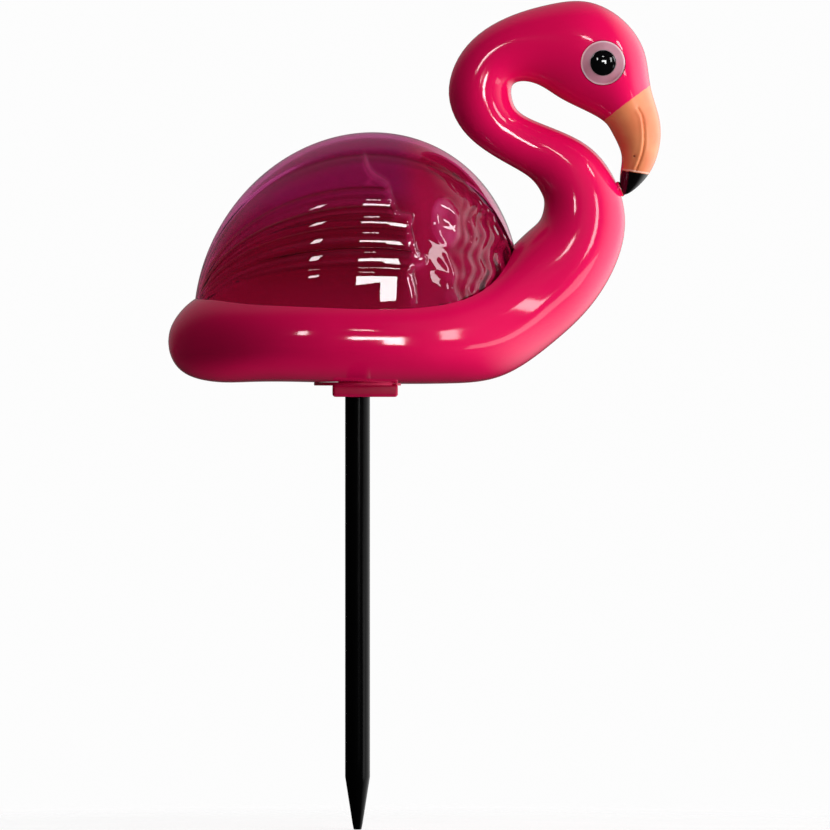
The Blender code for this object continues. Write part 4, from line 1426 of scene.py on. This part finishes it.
# Azimuth to the right of the camera and height angle, radius in degrees, and strength
LIT_PATCHES = (
    (76.0, 2.0, 66.0, 2.2),
    (85.0, -35.0, 60.0, 1.3),
    (0.0, 85.0, 70.0, 0.05),
    (205.0, 20.0, 75.0, 1.2),
)
MIRRORED_PATCHES = (
    (113.0, 4.0, 64.0, 2.0),
    (190.0, 45.0, 60.0, 0.26),
)


def towards(azimuth, elevation):
    """The direction at an azimuth to the right of the camera and a height angle, both in degrees."""
    a, e = math.radians(azimuth), math.radians(elevation)
    return Vector((math.sin(a) * math.cos(e), -math.cos(a) * math.cos(e), math.sin(e)))


def patch(direction, azimuth, elevation, radius, strength):
    """Light from one soft round patch of the surround."""
    inputs = {0: direction, 1: tuple(towards(azimuth, elevation))}
    facing = direction.node("ShaderNodeVectorMath", {"operation": "DOT_PRODUCT"}, inputs, output=1)
    return facing.clear_step(math.cos(math.radians(radius)), 1.0) * strength


def surround():
    world = bpy.data.worlds.new("pale_surround")
    scene.world = world
    world.use_nodes = True
    tree = world.node_tree
    path = tree.nodes.new("ShaderNodeLightPath")
    camera_ray, transmitted, glossy = (
        Flow(tree, path.outputs[f"Is {kind} Ray"]) for kind in ("Camera", "Transmission", "Glossy")
    )
    direction = Flow(tree, tree.nodes.new("ShaderNodeTexCoord").outputs["Generated"])
    lit = sum((patch(direction, *row) for row in LIT_PATCHES), DIM)
    mirrored = sum((patch(direction, *row) for row in MIRRORED_PATCHES), MIRRORED_DIM)
    unseen = lit + glossy * (mirrored - lit)
    seen = camera_ray.sum("MAXIMUM", camera_ray, transmitted)
    fill(tree, tree.nodes["Background"].inputs["Strength"], unseen + seen * (SEEN - unseen))
    tree.nodes["Background"].inputs["Color"].default_value = WHITE


surround()

# %% [markdown]
# ## Panels and the head light
# The crisp bright shapes in the gloss are windows and lamps that the bird mirrors. Each is a panel of light
# which only glossy surfaces see. The head light is the opposite: it brightens the matt colour of the head and
# neck, and no gloss mirrors it.

# %% Panels
# Name, azimuth to the right of the camera, height angle, width and height in degrees, and radiance
PANELS = (
    ("window", 8.0, 12.0, 20.0, 7.0, 24.0),
    ("window_leg", 14.0, 4.5, 8.0, 8.0, 24.0),
    ("high_pane", 3.0, 34.0, 7.0, 3.0, 18.0),
    ("left_pane", -24.0, 22.0, 4.5, 10.0, 18.0),
    ("right_pane", 41.0, 17.0, 7.0, 18.0, 10.0),
    ("brow_pane", 60.0, 40.0, 4.0, 9.0, 16.0),
    ("low_glow", 60.0, -12.0, 20.0, 14.0, 2.5),
)
PANEL_DISTANCE = 2.0
PANEL_AIM = Vector((0.03, 0.0, 0.27))


def area_light(name, place, away, size, energy, blind_rays):
    """A rectangle of light at a place, which shines back along away; some kinds of ray don't see it."""
    data = bpy.data.lights.new(name, "AREA")
    data.shape = "RECTANGLE"
    data.size, data.size_y = size
    data.energy = energy
    light = bpy.data.objects.new(name, data)
    light.location = place
    light.rotation_euler = away.to_track_quat("Z", "Y").to_euler()
    for rays in ("camera", "transmission", blind_rays):
        setattr(light, f"visible_{rays}", False)
    scene.collection.objects.link(light)


def panel(name, azimuth, elevation, wide, high, radiance):
    size = [2 * PANEL_DISTANCE * math.tan(math.radians(angle / 2)) for angle in (wide, high)]
    away = towards(azimuth, elevation)
    energy = radiance * math.pi * size[0] * size[1]
    area_light(name, PANEL_AIM + away * PANEL_DISTANCE, away, size, energy, "diffuse")


for row in PANELS:
    panel(*row)
print(f"{len(LIT_PATCHES)} soft patches and {len(PANELS)} panels light the bird")

# %% Head light
HEAD_LIGHT_PLACE = Vector((0.17, -0.23, 0.47))
HEAD_LIGHT_AIM = on_bird((25.0, 45.0))
HEAD_LIGHT_SIZE = (0.2, 0.2)
HEAD_LIGHT_ENERGY = 0.31
head_light_away = HEAD_LIGHT_PLACE - HEAD_LIGHT_AIM
area_light("head_light", HEAD_LIGHT_PLACE, head_light_away, HEAD_LIGHT_SIZE, HEAD_LIGHT_ENERGY, "glossy")
print(f"head light {head_light_away.length * 100:.0f} cm from the neck")
